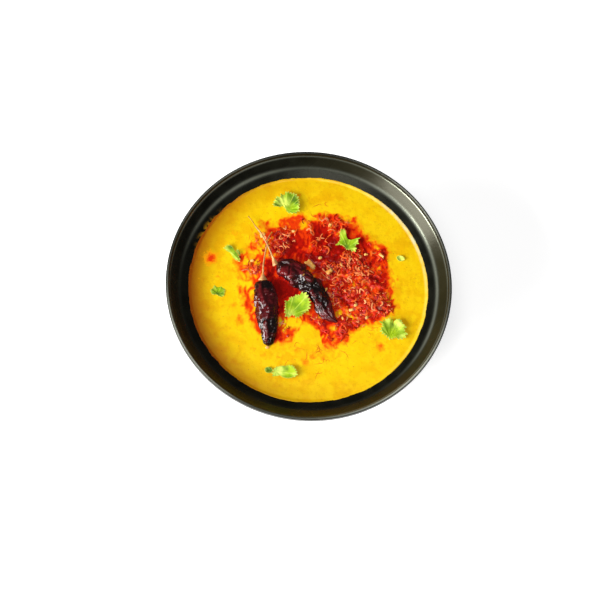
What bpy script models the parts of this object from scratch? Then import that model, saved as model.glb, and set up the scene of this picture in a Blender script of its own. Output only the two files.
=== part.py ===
"""Yellow dal in its black stoneware bowl, with a patch of chilli-oil tempering on top,
two fried dried chillies with their stems, and seven coriander leaves.

Metres, +Z up. The origin is the middle of the bowl's foot, on the table.
The script's own sizes are in millimetres and are scaled once, in finish_object.
"""
import math

import bpy
import bmesh
from mathutils import Matrix, Vector, noise

MM = 0.001

# ---------------------------------------------------------------- driving sizes, mm
RIM_RADIUS = 90.0
BOWL_HEIGHT = 60.0
WALL = 4.5
LIP_WIDTH = 2.5
LIP_DROP = 2.2
LIP_FACE = 3.8
LIP_CHAMFER = 1.5
CREASE_RADIUS = 81.8
CREASE_DROP = 7.8
LEDGE_RADIUS = 73.5
FLARE_RADIUS = 80.5
FLARE_HEIGHT = 49.0
SHOULDER_RADIUS = 77.5
SHOULDER_HEIGHT = 42.0
BELLY_RADIUS = 68.0
BELLY_HEIGHT = 12.0
FLOOR_HEIGHT = 7.5
FOOT_RADIUS = 43.0
FOOT_WIDTH = 4.5
FOOT_RECESS = 2.5
FOOT_HEIGHT = 6.0
FOOT_FILLET = 2.0
FOOT_ROUNDING = 0.6

DAL_RADIUS = 75.7
DAL_DEPTH_BELOW_RIM = 11.0
DAL_LEVEL = BOWL_HEIGHT - DAL_DEPTH_BELOW_RIM

TADKA_SUNK = 1.1
TADKA_EDGE_HEIGHT = 0.3
TADKA_FIELD_HEIGHT = 0.6
TADKA_CROWN = 1.2
TADKA_CROWN_CENTRE = (25.0, 10.0)
TADKA_CROWN_RADIUS = 38.0
TADKA_BUMPS = 0.35
TADKA_BUMP_PITCH = 7.7
TADKA_RINGS = (0.90, 0.77, 0.60, 0.40)

CHILLI_AXIS_HEIGHT = DAL_LEVEL + 0.6
CHILLI_FLATNESS = 0.70
STEM_RADIUS = 0.65
CALYX_RADIUS = 2.6
CALYX_START = 0.78

LEAF_THICKNESS = 0.6
LEAF_LOBES = 3
LEAF_LOBE_DEPTH = 0.09
LEAF_TEETH = 14
LEAF_TOOTH_DEPTH = 0.05
LEAF_BASE_NOTCH = 0.25

GAP = 0.35
ROUND_STEPS = 60
TADKA_STEPS = 44
CHILLI_SIDES = 12
LEAF_STEPS = 36

# The tempering's outline, walked round from its back left corner.
TADKA_OUTLINE = (
    (-35.0, 40.0), (-13.5, 47.5), (10.5, 51.0), (24.0, 48.5), (33.0, 40.0),
    (46.0, 34.0), (53.0, 17.0), (54.5, 0.0), (56.0, -11.0), (33.0, -28.0),
    (20.5, -38.5), (13.0, -37.5), (9.0, -28.0), (0.0, -25.0), (-12.0, -38.0),
    (-26.0, -37.0), (-36.0, -20.0), (-43.0, -5.0), (-46.5, 12.0),
)
TADKA_CENTRE = Vector((4.0, 5.0, 0.0))

# Chillies: the stem's route, as (x, y, height above the body's axis level), then the
# body's middle line, as (x, y, height, width as a share of the greatest).
CHILLIES = {
    "chilli_left": {
        "stem": ((-28.0, 33.0, 0.3), (-30.0, 28.0, 0.5), (-30.2, 22.0, 0.6),
                 (-30.4, 10.2, 1.2), (-29.9, 4.8, 0.8), (-29.2, -0.6, 0.2)),
        "body": ((-29.0, -1.5, 0.0, 0.66), (-27.7, -7.3, 0.0, 0.86), (-25.3, -15.7, 0.0, 1.0),
                 (-22.9, -26.2, 0.0, 0.88), (-21.3, -34.0, -0.2, 0.68),
                 (-20.5, -41.6, -0.6, 0.42), (-20.4, -42.9, -0.7, 0.26)),
        "half_width": 7.7,
    },
    "chilli_right": {
        "stem": ((-44.6, 41.6, 0.6), (-40.3, 37.0, 1.2), (-34.8, 30.6, 1.9),
                 (-29.6, 23.0, 2.4), (-25.8, 16.5, 1.6), (-22.4, 10.6, 0.4)),
        "body": ((-21.4, 10.1, 0.2, 0.60), (-17.5, 9.0, 0.1, 0.86), (-12.0, 7.0, 0.0, 0.96),
                 (-6.6, 4.4, 0.0, 1.0), (-0.4, 1.2, 0.0, 0.95), (4.6, -3.6, 0.0, 0.80),
                 (8.9, -9.9, -0.2, 0.76), (12.5, -16.0, -0.4, 0.68), (16.0, -19.8, -0.7, 0.46),
                 (20.2, -22.0, -1.0, 0.10)),
        "half_width": 7.1,
    },
}

# Coriander leaves: middle (x, y), height above the dal, half length, width to length,
# heading in degrees, and how far the edge turns up.
LEAVES = {
    "leaf_back": ((-20.5, 55.7), 0.7, 8.8, 0.92, 118.0, 1.8),
    "leaf_upper_right": ((21.4, 35.3), 2.4, 8.2, 0.85, 70.0, 1.6),
    "leaf_centre": ((-5.4, -15.2), 2.0, 9.2, 0.98, 62.0, 1.6),
    "leaf_right": ((55.5, -20.5), 1.6, 9.6, 0.95, 40.0, 2.0),
    "leaf_front": ((-8.9, -57.9), 0.7, 8.2, 0.58, 5.0, 1.6),
    "leaf_left": ((-51.6, 16.3), 1.2, 6.8, 0.52, 128.0, 1.4),
    "leaf_lower_left": ((-56.1, -9.9), 0.7, 5.0, 0.85, 80.0, 0.7),
}

# Colour, roughness and metallic value of each finish.
FINISHES = {
    "black_glaze": ((0.018, 0.018, 0.015), 0.34, 0.0),
    "yellow_dal": ((0.93, 0.60, 0.02), 0.38, 0.0),
    "chilli_oil": ((0.62, 0.05, 0.01), 0.22, 0.0),
    "dried_chilli": ((0.07, 0.008, 0.012), 0.25, 0.0),
    "coriander": ((0.36, 0.62, 0.06), 0.45, 0.0),
}


# ---------------------------------------------------------------- helpers
def clear_scene():
    for item in list(bpy.data.objects):
        bpy.data.objects.remove(item, do_unlink=True)


def make_finish(name):
    colour, roughness, metallic = FINISHES[name]
    material = bpy.data.materials.get(name)
    if material is None:
        material = bpy.data.materials.new(name)
        material.use_nodes = True
        shader = material.node_tree.nodes["Principled BSDF"]
        shader.inputs["Base Color"].default_value = (*colour, 1.0)
        shader.inputs["Roughness"].default_value = roughness
        shader.inputs["Metallic"].default_value = metallic
    return material


def finish_object(name, shape, finish):
    """Scale the millimetre shape to metres and hand it over as a named object."""
    bmesh.ops.recalc_face_normals(shape, faces=shape.faces)
    bmesh.ops.scale(shape, vec=(MM, MM, MM), verts=shape.verts)
    mesh = bpy.data.meshes.new(name)
    shape.to_mesh(mesh)
    shape.free()
    mesh.shade_smooth()
    mesh.set_sharp_from_angle(angle=math.radians(50))
    mesh.materials.append(make_finish(finish))
    item = bpy.data.objects.new(name, mesh)
    bpy.context.collection.objects.link(item)
    return item


def make_cutter(item):
    item.hide_render = True
    item.display_type = "WIRE"
    return item


def cut(item, cutter):
    trim = item.modifiers.new("cut_" + cutter.name, "BOOLEAN")
    trim.operation = "DIFFERENCE"
    trim.object = cutter


def quadratic(start, pull, end, steps):
    """Points after start on the curve that leaves start and reaches end, drawn towards pull."""
    points = []
    for step in range(1, steps + 1):
        t = step / steps
        points.append(tuple(
            (1 - t) ** 2 * a + 2 * t * (1 - t) * b + t ** 2 * c
            for a, b, c in zip(start, pull, end)
        ))
    return points


def through(points, steps, closed=False):
    """A smooth curve through the points (Catmull-Rom), with steps spans between each two."""
    count = len(points)
    spans = count if closed else count - 1
    curve = []
    for span in range(spans):
        picks = []
        for shift in (-1, 0, 1, 2):
            index = span + shift
            index = index % count if closed else min(max(index, 0), count - 1)
            picks.append(Vector(points[index]))
        before, here, there, after = picks
        for step in range(steps):
            t = step / steps
            curve.append(0.5 * (
                2 * here + (there - before) * t
                + (2 * before - 5 * here + 4 * there - after) * t ** 2
                + (3 * here - before - 3 * there + after) * t ** 3
            ))
    if not closed:
        curve.append(Vector(points[-1]))
    return curve


def spin_profile(profile):
    """Turn an open (radius, height) line that starts and ends on the axis into a solid."""
    shape = bmesh.new()
    verts = [shape.verts.new((radius, 0.0, height)) for radius, height in profile]
    edges = [shape.edges.new(pair) for pair in zip(verts, verts[1:])]
    bmesh.ops.spin(
        shape, geom=verts + edges, cent=(0, 0, 0), axis=(0, 0, 1),
        angle=2 * math.pi, steps=ROUND_STEPS, use_merge=True,
    )
    bmesh.ops.remove_doubles(shape, verts=shape.verts, dist=0.001)
    return shape


# ---------------------------------------------------------------- bowl
def outer_wall():
    """The outside of the bowl from the top of the foot up to the shoulder."""
    start = (FOOT_RADIUS + FOOT_FILLET, FOOT_HEIGHT)
    belly = (BELLY_RADIUS, BELLY_HEIGHT)
    return [start] + quadratic(start, belly, (SHOULDER_RADIUS, SHOULDER_HEIGHT), 6)


def inset_line(line, distance):
    """The line moved sideways by distance, to the left of the way it runs."""
    moved = []
    for index, (x, z) in enumerate(line):
        x0, z0 = line[max(index - 1, 0)]
        x1, z1 = line[min(index + 1, len(line) - 1)]
        length = math.hypot(x1 - x0, z1 - z0)
        moved.append((x - (z1 - z0) / length * distance, z + (x1 - x0) / length * distance))
    return moved


def inner_wall():
    """From the middle of the floor out to the inner corner of the ledge."""
    side = inset_line(outer_wall(), WALL)
    middle = (0.0, FLOOR_HEIGHT)
    flat = (side[0][0] * 0.6, FLOOR_HEIGHT)
    return [middle] + quadratic(middle, flat, side[0], 3) + side[1:]


def ledge_height(radius):
    """Height of the ledge's slope, which rises from the dal's edge to the crease."""
    crease_height = BOWL_HEIGHT - CREASE_DROP
    slope = (crease_height - DAL_LEVEL) / (CREASE_RADIUS - DAL_RADIUS)
    return DAL_LEVEL + (radius - DAL_RADIUS) * slope


def bowl_profile():
    """The bowl's section: up the inside, over the lip, down the outside and under the foot."""
    inside = inner_wall()
    ledge = [(LEDGE_RADIUS, ledge_height(LEDGE_RADIUS)),
             (CREASE_RADIUS, BOWL_HEIGHT - CREASE_DROP)]
    lip_middle = RIM_RADIUS - LIP_WIDTH / 2
    lip = [
        (lip_middle - LIP_WIDTH / 2 * math.cos(turn), BOWL_HEIGHT - LIP_DROP + LIP_DROP * math.sin(turn))
        for turn in (math.pi * step / 4 for step in range(5))
    ]
    underside = [(RIM_RADIUS, BOWL_HEIGHT - LIP_FACE),
                 (RIM_RADIUS - LIP_CHAMFER, BOWL_HEIGHT - LIP_FACE - LIP_CHAMFER)]
    underside += quadratic(
        underside[-1], (FLARE_RADIUS, FLARE_HEIGHT), (SHOULDER_RADIUS, SHOULDER_HEIGHT), 3,
    )
    outside = list(reversed(outer_wall()))[1:]
    inner_foot = FOOT_RADIUS - FOOT_WIDTH
    foot = [
        (FOOT_RADIUS + FOOT_ROUNDING, FOOT_HEIGHT - FOOT_FILLET),
        (FOOT_RADIUS, FOOT_ROUNDING),
        (FOOT_RADIUS - FOOT_ROUNDING, 0.0),
        (inner_foot + FOOT_ROUNDING, 0.0),
        (inner_foot, FOOT_ROUNDING),
        (inner_foot - FOOT_ROUNDING, FOOT_RECESS),
        (0.0, FOOT_RECESS),
    ]
    return inside + ledge + lip + underside + outside + foot


def build_bowl():
    return finish_object("bowl", spin_profile(bowl_profile()), "black_glaze")


# ---------------------------------------------------------------- dal
def build_dal():
    """The dal fills the bowl from its floor to the level line, a gap inside the glaze."""
    wall = inset_line(inner_wall(), GAP)
    wall[0] = (0.0, wall[0][1])
    corner = (LEDGE_RADIUS - GAP, ledge_height(LEDGE_RADIUS) + GAP / 2)
    edge = (DAL_RADIUS - 2 * GAP, DAL_LEVEL)
    return finish_object("dal", spin_profile(wall + [corner, edge, (0.0, DAL_LEVEL)]), "yellow_dal")


# ---------------------------------------------------------------- tempering
def tadka_height(x, y):
    away = math.hypot(x - TADKA_CROWN_CENTRE[0], y - TADKA_CROWN_CENTRE[1]) / TADKA_CROWN_RADIUS
    crown = TADKA_CROWN * math.exp(-away * away)
    bump = TADKA_BUMPS * noise.noise(Vector((x, y, 0.0)) / TADKA_BUMP_PITCH)
    return TADKA_FIELD_HEIGHT + crown + bump


def build_tadka(name="tadka", grow=0.0, top=None, sunk=TADKA_SUNK):
    """A low uneven mound inside the outline; grow, top and sunk make its cutter."""
    outline = through([(x, y, 0.0) for x, y in TADKA_OUTLINE], 4, closed=True)
    picked = [outline[round(i * len(outline) / TADKA_STEPS) % len(outline)] for i in range(TADKA_STEPS)]
    shape = bmesh.new()
    made = bmesh.ops.create_circle(shape, segments=TADKA_STEPS, radius=1.0, cap_ends=False)
    ring = made["verts"]
    for vert, target in zip(ring, picked):
        arm = target - TADKA_CENTRE
        vert.co = target + arm.normalized() * grow
    rim_edges = list(shape.edges)
    bmesh.ops.contextual_create(shape, geom=ring)
    for vert in ring:
        vert.co.z = DAL_LEVEL - sunk
    lifted = bmesh.ops.extrude_edge_only(shape, edges=rim_edges)["geom"]
    upper = [item for item in lifted if isinstance(item, bmesh.types.BMVert)]
    for vert in upper:
        vert.co.z = DAL_LEVEL + TADKA_EDGE_HEIGHT if top is None else top
    cap = bmesh.ops.contextual_create(shape, geom=upper)["faces"]
    if top is None:
        for share in TADKA_RINGS:
            bmesh.ops.inset_region(shape, faces=cap, thickness=0.5, depth=0.0)
            for vert, target in zip(order_like(cap[0].verts, picked), picked):
                spot = TADKA_CENTRE.lerp(target, share)
                vert.co = (spot.x, spot.y, DAL_LEVEL + tadka_height(spot.x, spot.y))
        bmesh.ops.poke(shape, faces=cap)
    return finish_object(name, shape, "chilli_oil")


def order_like(verts, targets):
    """The verts, ordered so that each lies in the same direction from the middle as its target."""
    def turn(point):
        return math.atan2(point.y - TADKA_CENTRE.y, point.x - TADKA_CENTRE.x)

    by_turn = sorted(verts, key=lambda vert: turn(vert.co))
    ranks = sorted(range(len(targets)), key=lambda index: turn(targets[index]))
    ordered = [None] * len(targets)
    for vert, rank in zip(by_turn, ranks):
        ordered[rank] = vert
    return ordered


# ---------------------------------------------------------------- chillies
def chilli_rings(plan):
    """Middle, half width and half height of each ring, from the stem's end to the tip."""
    rings = []
    stem = through(plan["stem"], 2)
    for index, point in enumerate(stem):
        share = index / (len(stem) - 1)
        flare = max(0.0, (share - CALYX_START) / (1.0 - CALYX_START)) ** 1.5
        radius = STEM_RADIUS + (CALYX_RADIUS - STEM_RADIUS) * flare
        rings.append((point, radius, radius))
    for x, y, lift, fullness in through(plan["body"], 2):
        width = plan["half_width"] * fullness
        rings.append((Vector((x, y, lift)), width, width * CHILLI_FLATNESS))
    return rings


def build_chilli(name, plan, grow=0.0):
    """A ring extruded along the stem, over the calyx and down the shrivelled body.

    grow swells the skin outwards, for the hollow that the chilli lies in.
    """
    rings = chilli_rings(plan)
    shape = bmesh.new()
    made = bmesh.ops.create_circle(shape, segments=CHILLI_SIDES, radius=1.0, cap_ends=False)
    loop_verts = made["verts"]
    loop_edges = list(shape.edges)
    angles = [math.atan2(vert.co.y, vert.co.x) for vert in loop_verts]
    first = loop_verts
    stem_rings = 2 * (len(plan["stem"]) - 1) + 1
    last = len(rings) - 1
    for index, (middle, width, height) in enumerate(rings):
        if index > 0:
            extruded = bmesh.ops.extrude_edge_only(shape, edges=loop_edges)["geom"]
            fresh = {item for item in extruded if isinstance(item, bmesh.types.BMVert)}
            loop_edges = [item for item in extruded if isinstance(item, bmesh.types.BMEdge)
                          and item.verts[0] in fresh and item.verts[1] in fresh]
            partner = {}
            for vert in fresh:
                for edge in vert.link_edges:
                    partner[edge.other_vert(vert)] = vert
            loop_verts = [partner[vert] for vert in loop_verts]
        along = (rings[min(index + 1, last)][0] - rings[max(index - 1, 0)][0]).normalized()
        side = along.cross(Vector((0, 0, 1))).normalized()
        up = side.cross(along)
        shrivel = 0.0 if index < stem_rings else 1.0
        for vert, angle in zip(loop_verts, angles):
            crease = 1.0 + shrivel * (0.07 * math.cos(3 * angle + 0.9 * index)
                                      + 0.05 * math.cos(5 * angle - 1.7 * index))
            offset = side * (width * math.cos(angle)) + up * (height * math.sin(angle))
            vert.co = middle + offset * crease + Vector((0, 0, CHILLI_AXIS_HEIGHT))
    bmesh.ops.contextual_create(shape, geom=first)
    bmesh.ops.contextual_create(shape, geom=loop_verts)
    bmesh.ops.triangulate(shape, faces=shape.faces)
    bmesh.ops.recalc_face_normals(shape, faces=shape.faces)
    shape.normal_update()
    swollen = [vert.co + vert.normal * grow * min(2.0, vert.calc_shell_factor()) for vert in shape.verts]
    for vert, spot in zip(shape.verts, swollen):
        vert.co = spot
    return finish_object(name, shape, "dried_chilli")


# ---------------------------------------------------------------- coriander
def leaf_reach(turn):
    """How far the leaf's edge is from its middle: three broad lobes, small teeth, a notched base."""
    lobes = 1.0 - LEAF_LOBE_DEPTH + LEAF_LOBE_DEPTH * math.cos(LEAF_LOBES * turn)
    base = 1.0 - LEAF_BASE_NOTCH * ((1 - math.cos(turn)) / 2) ** 3
    teeth = 1.0 + LEAF_TOOTH_DEPTH * math.cos(LEAF_TEETH * turn)
    return lobes * base * teeth


def build_leaf(name):
    middle, lift, length, width, heading, curl = LEAVES[name]
    shape = bmesh.new()
    bmesh.ops.create_circle(shape, segments=LEAF_STEPS, radius=1.0, cap_ends=True, cap_tris=True)
    for vert in shape.verts:
        if vert.co.length > 0.5:
            turn = math.atan2(vert.co.y, vert.co.x)
            reach = leaf_reach(turn)
            vert.co = (reach * length * math.cos(turn), reach * length * width * math.sin(turn),
                       curl * reach ** 2 * (0.6 + 0.4 * math.cos(2 * turn)))
    place = Matrix.Translation((middle[0], middle[1], DAL_LEVEL + lift + LEAF_THICKNESS))
    place @= Matrix.Rotation(math.radians(heading), 4, "Z")
    bmesh.ops.transform(shape, matrix=place, verts=shape.verts)
    item = finish_object(name, shape, "coriander")
    blade = item.modifiers.new("Blade", "SOLIDIFY")
    blade.thickness = LEAF_THICKNESS * MM
    blade.offset = 0.0
    return item


# ---------------------------------------------------------------- the whole dish
def main():
    clear_scene()
    build_bowl()
    dal = build_dal()
    tadka = build_tadka()
    bed = make_cutter(build_tadka("bed_cutter", grow=GAP, top=BOWL_HEIGHT, sunk=TADKA_SUNK + GAP))
    cut(dal, bed)
    for name, plan in CHILLIES.items():
        build_chilli(name, plan)
        hollow = make_cutter(build_chilli(name + "_cutter", plan, grow=1.4 * GAP))
        cut(dal, hollow)
        cut(tadka, hollow)
    for name in LEAVES:
        build_leaf(name)


main()
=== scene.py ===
# %% [markdown]
# # A bowl of dal, topped with chilli oil
# This lesson models a black stoneware bowl of yellow lentil soup. On top lie a patch of red
# tempering (hot oil with fried onion, garlic and chilli), two fried dried chillies and torn
# coriander leaves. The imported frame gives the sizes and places. Each piece is then made again
# at full detail with mesh operators, and gets a finish built from nodes.

# %% Load the frame
import math
import random

import bmesh
import bpy
from mathutils import Matrix, Vector, noise


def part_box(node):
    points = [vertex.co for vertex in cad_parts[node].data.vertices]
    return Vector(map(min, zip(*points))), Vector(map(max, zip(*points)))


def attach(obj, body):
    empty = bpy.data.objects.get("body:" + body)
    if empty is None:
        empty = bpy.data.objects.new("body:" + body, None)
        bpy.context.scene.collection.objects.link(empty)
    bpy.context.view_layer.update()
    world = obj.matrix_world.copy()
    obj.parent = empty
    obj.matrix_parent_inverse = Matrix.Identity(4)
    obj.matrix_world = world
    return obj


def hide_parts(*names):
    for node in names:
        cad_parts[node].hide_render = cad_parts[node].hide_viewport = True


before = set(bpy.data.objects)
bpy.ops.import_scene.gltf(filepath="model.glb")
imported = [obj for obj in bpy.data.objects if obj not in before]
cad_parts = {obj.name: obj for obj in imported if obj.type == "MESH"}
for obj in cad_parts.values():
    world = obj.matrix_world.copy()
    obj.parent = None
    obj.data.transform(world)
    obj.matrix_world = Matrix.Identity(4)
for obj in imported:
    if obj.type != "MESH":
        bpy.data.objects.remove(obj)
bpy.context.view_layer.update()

print("nodes in the frame:", sorted(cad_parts))

# %% Measure the dish
MM = 0.001
BOWL_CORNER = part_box("bowl")[1] / MM
RIM_RADIUS = BOWL_CORNER.x
BOWL_HEIGHT = BOWL_CORNER.z
DAL_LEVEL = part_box("dal")[1].z / MM
DAL_RADIUS = 75.7
WALL = 4.5
LIP_WIDTH = 2.5
LIP_DROP = 2.2
CREASE_RADIUS = 81.8
CREASE_HEIGHT = BOWL_HEIGHT - 7.8
LEDGE_RADIUS = 73.5
print(f"rim {2 * RIM_RADIUS:.0f} mm across, dal {BOWL_HEIGHT - DAL_LEVEL:.0f} mm below the rim")

# %% [markdown]
# ## Helpers
# Every piece goes through the same few steps: its bmesh is built in millimetres, its faces
# are turned outwards, it is scaled to metres about the origin, and it is hung on the body
# "root", because food and bowl move as one. Keeping these steps in one function keeps the
# cells short.

# %% A finished piece from a bmesh
def finish_piece(name, shape, material, stands_for=(), smooth_angle=60):
    bmesh.ops.scale(shape, vec=(MM, MM, MM), verts=shape.verts)
    mesh = bpy.data.meshes.new(name)
    shape.to_mesh(mesh)
    shape.free()
    mesh.shade_smooth()
    if smooth_angle < 180:
        mesh.set_sharp_from_angle(angle=math.radians(smooth_angle))
    mesh.materials.append(material)
    piece = bpy.data.objects.new(name, mesh)
    bpy.context.scene.collection.objects.link(piece)
    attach(piece, "root")
    if stands_for:
        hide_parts(*stands_for)
    mesh.calc_loop_triangles()
    print(f"{name}: {len(mesh.loop_triangles)} triangles")
    return piece


def mix(low, high, share):
    return low + (high - low) * share


def smooth_step(low, high, value):
    share = min(1.0, max(0.0, (value - low) / (high - low)))
    return share * share * (3 - 2 * share)


def wobble(x, y, pitch, seed=0.0):
    """Smooth noise from -1 to 1, whose lumps are about pitch millimetres across."""
    return noise.noise(Vector((x / pitch, y / pitch, seed)))


# %% Curves and turned shapes
def quadratic(start, pull, end, steps):
    """Points after start on the curve from start to end that is drawn towards pull."""
    points = []
    for step in range(1, steps + 1):
        t = step / steps
        points.append(tuple(
            (1 - t) ** 2 * a + 2 * t * (1 - t) * b + t ** 2 * c
            for a, b, c in zip(start, pull, end)
        ))
    return points


def straight(start, end, steps):
    """Points after start on the straight line to end."""
    return [tuple(mix(a, b, step / steps) for a, b in zip(start, end))
            for step in range(1, steps + 1)]


def through(points, steps, closed=False):
    """A smooth curve through the points, with steps spans between each two."""
    count = len(points)
    curve = []
    for span in range(count if closed else count - 1):
        picks = []
        for shift in (-1, 0, 1, 2):
            index = span + shift
            index = index % count if closed else min(max(index, 0), count - 1)
            picks.append(Vector(points[index]))
        before, here, there, after = picks
        for step in range(steps):
            t = step / steps
            curve.append(0.5 * (
                2 * here + (there - before) * t
                + (2 * before - 5 * here + 4 * there - after) * t ** 2
                + (3 * here - before - 3 * there + after) * t ** 3
            ))
    if not closed:
        curve.append(Vector(points[-1]))
    return curve


def turned(profile, steps):
    """Spin a line of (radius, height) points about the bowl's centre line."""
    shape = bmesh.new()
    verts = [shape.verts.new((radius, 0.0, height)) for radius, height in profile]
    edges = [shape.edges.new(pair) for pair in zip(verts, verts[1:])]
    bmesh.ops.spin(shape, geom=verts + edges, cent=(0, 0, 0), axis=(0, 0, 1),
                   angle=2 * math.pi, steps=steps, use_merge=True)
    bmesh.ops.remove_doubles(shape, verts=shape.verts, dist=0.0005)
    bmesh.ops.recalc_face_normals(shape, faces=shape.faces)
    return shape


def disc(rings, steps):
    """A flat round net of radius 1, facing up, ready to be pulled into another outline."""
    return turned([(ring / rings, 0.0) for ring in range(rings + 1)], steps)


def face_up(shape):
    """Turn an open sheet so that most of it faces up."""
    shape.normal_update()
    if sum(face.normal.z * face.calc_area() for face in shape.faces) < 0:
        bmesh.ops.reverse_faces(shape, faces=shape.faces)


# %% Tubes that follow a path
def tube(stations, sides, values=()):
    """Extrude a ring along (middle, half width, half height) stations.

    Returns the shape and, for each station, its ring of (vertex, angle round the ring).
    """
    shape = bmesh.new()
    for value in values:
        shape.verts.layers.float.new(value)
    ring = bmesh.ops.create_circle(shape, segments=sides, radius=1.0, cap_ends=False)["verts"]
    angles = [math.atan2(vert.co.y, vert.co.x) for vert in ring]
    edges = list(shape.edges)
    first, last = ring, len(stations) - 1
    rings = []
    for index, (middle, width, height) in enumerate(stations):
        if index:
            grown = bmesh.ops.extrude_edge_only(shape, edges=edges)["geom"]
            fresh = {item for item in grown if isinstance(item, bmesh.types.BMVert)}
            edges = [item for item in grown if isinstance(item, bmesh.types.BMEdge)
                     and item.verts[0] in fresh and item.verts[1] in fresh]
            partner = {}
            for vert in fresh:
                for edge in vert.link_edges:
                    partner[edge.other_vert(vert)] = vert
            ring = [partner[vert] for vert in ring]
        along = (stations[min(index + 1, last)][0] - stations[max(index - 1, 0)][0]).normalized()
        side = along.cross(Vector((0, 0, 1)))
        side = side.normalized() if side.length > 1e-6 else Vector((1, 0, 0))
        up = side.cross(along)
        for vert, angle in zip(ring, angles):
            vert.co = middle + side * (width * math.cos(angle)) + up * (height * math.sin(angle))
        rings.append(list(zip(ring, angles)))
    bmesh.ops.contextual_create(shape, geom=first)
    bmesh.ops.contextual_create(shape, geom=ring)
    bmesh.ops.recalc_face_normals(shape, faces=shape.faces)
    return shape, rings


# %% Values on the points, and many copies of a few small shapes
def point_values(shape, *keys):
    """Give every point a value for each key, and return the keys' layers in order."""
    for key in keys:
        shape.verts.layers.float.new(key)
    return [shape.verts.layers.float[key] for key in keys]


def joined_copies(templates, places):
    """One bmesh with a copy of a template at each (template number, matrix, tint) place."""
    shape = bmesh.new()
    tint = shape.verts.layers.float.new("tint")
    for number, matrix, value in places:
        before = len(shape.verts)
        shape.from_mesh(templates[number])
        shape.verts.ensure_lookup_table()
        fresh = shape.verts[before:]
        bmesh.ops.transform(shape, matrix=matrix, verts=fresh)
        for vert in fresh:
            vert[tint] = value
    return shape


def template(shape, name):
    """Keep a small shape as a mesh that joined_copies can read."""
    bmesh.ops.recalc_face_normals(shape, faces=shape.faces)
    mesh = bpy.data.meshes.new(name)
    shape.to_mesh(mesh)
    shape.free()
    return mesh


# %% [markdown]
# ## Camera, floor and light
# The dish is seen from the diner's side, steeply from above, and the camera is rolled a few
# degrees. The light is a broad soft window low on the left, in front: it makes the bright
# band on the far right wall, and the left wall's shade on the dal. The glaze adds painted
# highlights and a painted reflection to that band, and the dal's finish adds painted shade
# where the left wall's shadow falls. A weak lamp overhead and an even, dim sky keep the shadows
# open. The sky looks pale only where the camera sees it straight, so the black glaze has
# nothing bright to mirror. The floor is plain and nearly white.

# %% The camera
VIEW_ELEVATION = math.radians(70.0)
VIEW_ROLL = math.radians(7.6)
VIEW_DISTANCE = 0.72
VIEW_TARGET = Vector((-0.0043, -0.0141, BOWL_HEIGHT * MM))
VIEW_LENS = 69.3

camera_data = bpy.data.cameras.new("camera")
camera_data.lens = VIEW_LENS
camera_data.sensor_width = 36.0
camera = bpy.data.objects.new("camera", camera_data)
bpy.context.scene.collection.objects.link(camera)
camera.matrix_world = (
    Matrix.Translation(VIEW_TARGET)
    @ Matrix.Rotation(math.pi / 2 - VIEW_ELEVATION, 4, "X")
    @ Matrix.Rotation(VIEW_ROLL, 4, "Z")
    @ Matrix.Translation((0.0, 0.0, VIEW_DISTANCE))
)
bpy.context.scene.camera = camera
bpy.context.scene.view_settings.view_transform = "Standard"
print("camera at", tuple(round(value, 3) for value in camera.matrix_world.translation))


# %% Node helpers
def add_node(tree, kind, **settings):
    made = tree.nodes.new(kind)
    for key, value in settings.items():
        setattr(made, key, value)
    return made


def feed(tree, source, target):
    """Link a socket, or set a plain value."""
    if isinstance(source, bpy.types.NodeSocket):
        tree.links.new(source, target)
    elif isinstance(source, (int, float)):
        target.default_value = source
    else:
        target.default_value = (*source, 1.0) if len(source) == 3 else source


def blend_colours(tree, share, low, high):
    mixer = add_node(tree, "ShaderNodeMix", data_type="RGBA")
    feed(tree, share, mixer.inputs["Factor"])
    feed(tree, low, mixer.inputs["A"])
    feed(tree, high, mixer.inputs["B"])
    return mixer.outputs["Result"]


def steps_between(tree, value, low, high, out_low=0.0, out_high=1.0):
    """The value, mapped smoothly from low..high to out_low..out_high."""
    mapper = add_node(tree, "ShaderNodeMapRange", interpolation_type="SMOOTHSTEP")
    feed(tree, value, mapper.inputs["Value"])
    for key, number in (("From Min", low), ("From Max", high),
                        ("To Min", out_low), ("To Max", out_high)):
        mapper.inputs[key].default_value = number
    return mapper.outputs["Result"]


def maths(tree, operation, first, second=0.0):
    made = add_node(tree, "ShaderNodeMath", operation=operation)
    feed(tree, first, made.inputs[0])
    feed(tree, second, made.inputs[1])
    return made.outputs[0]


def own_place(tree):
    """A point's place in the object's own metres."""
    return add_node(tree, "ShaderNodeTexCoord").outputs["Object"]


def noise_at(tree, scale, detail=3.0, roughness=0.55):
    """Noise in the object's own metres: scale is lumps to the metre."""
    made = add_node(tree, "ShaderNodeTexNoise")
    tree.links.new(own_place(tree), made.inputs["Vector"])
    made.inputs["Scale"].default_value = scale
    made.inputs["Detail"].default_value = detail
    made.inputs["Roughness"].default_value = roughness
    return made.outputs["Fac"]


def attribute(tree, name):
    return add_node(tree, "ShaderNodeAttribute", attribute_name=name).outputs["Fac"]


def new_finish(name, roughness=0.4, coat=0.0, coat_roughness=0.1, specular=0.5):
    """A material, its node tree and its Principled shader, ready for more nodes."""
    material = bpy.data.materials.new(name)
    material.use_nodes = True
    shader = material.node_tree.nodes["Principled BSDF"]
    shader.inputs["Roughness"].default_value = roughness
    shader.inputs["Coat Weight"].default_value = coat
    shader.inputs["Coat Roughness"].default_value = coat_roughness
    shader.inputs["Specular IOR Level"].default_value = specular
    return material, material.node_tree, shader


def bump(tree, shader, height, strength, distance=0.001):
    made = add_node(tree, "ShaderNodeBump")
    feed(tree, height, made.inputs["Height"])
    made.inputs["Strength"].default_value = strength
    made.inputs["Distance"].default_value = distance
    tree.links.new(made.outputs["Normal"], shader.inputs["Normal"])


def blotches(tree, tone, colour, scale, detail, low, high, most, roughness=0.55):
    """Tone, with soft blotches of a second colour where noise rises from low to high."""
    share = steps_between(tree, noise_at(tree, scale, detail, roughness), low, high, 0.0, most)
    return blend_colours(tree, share, tone, colour)


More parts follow.
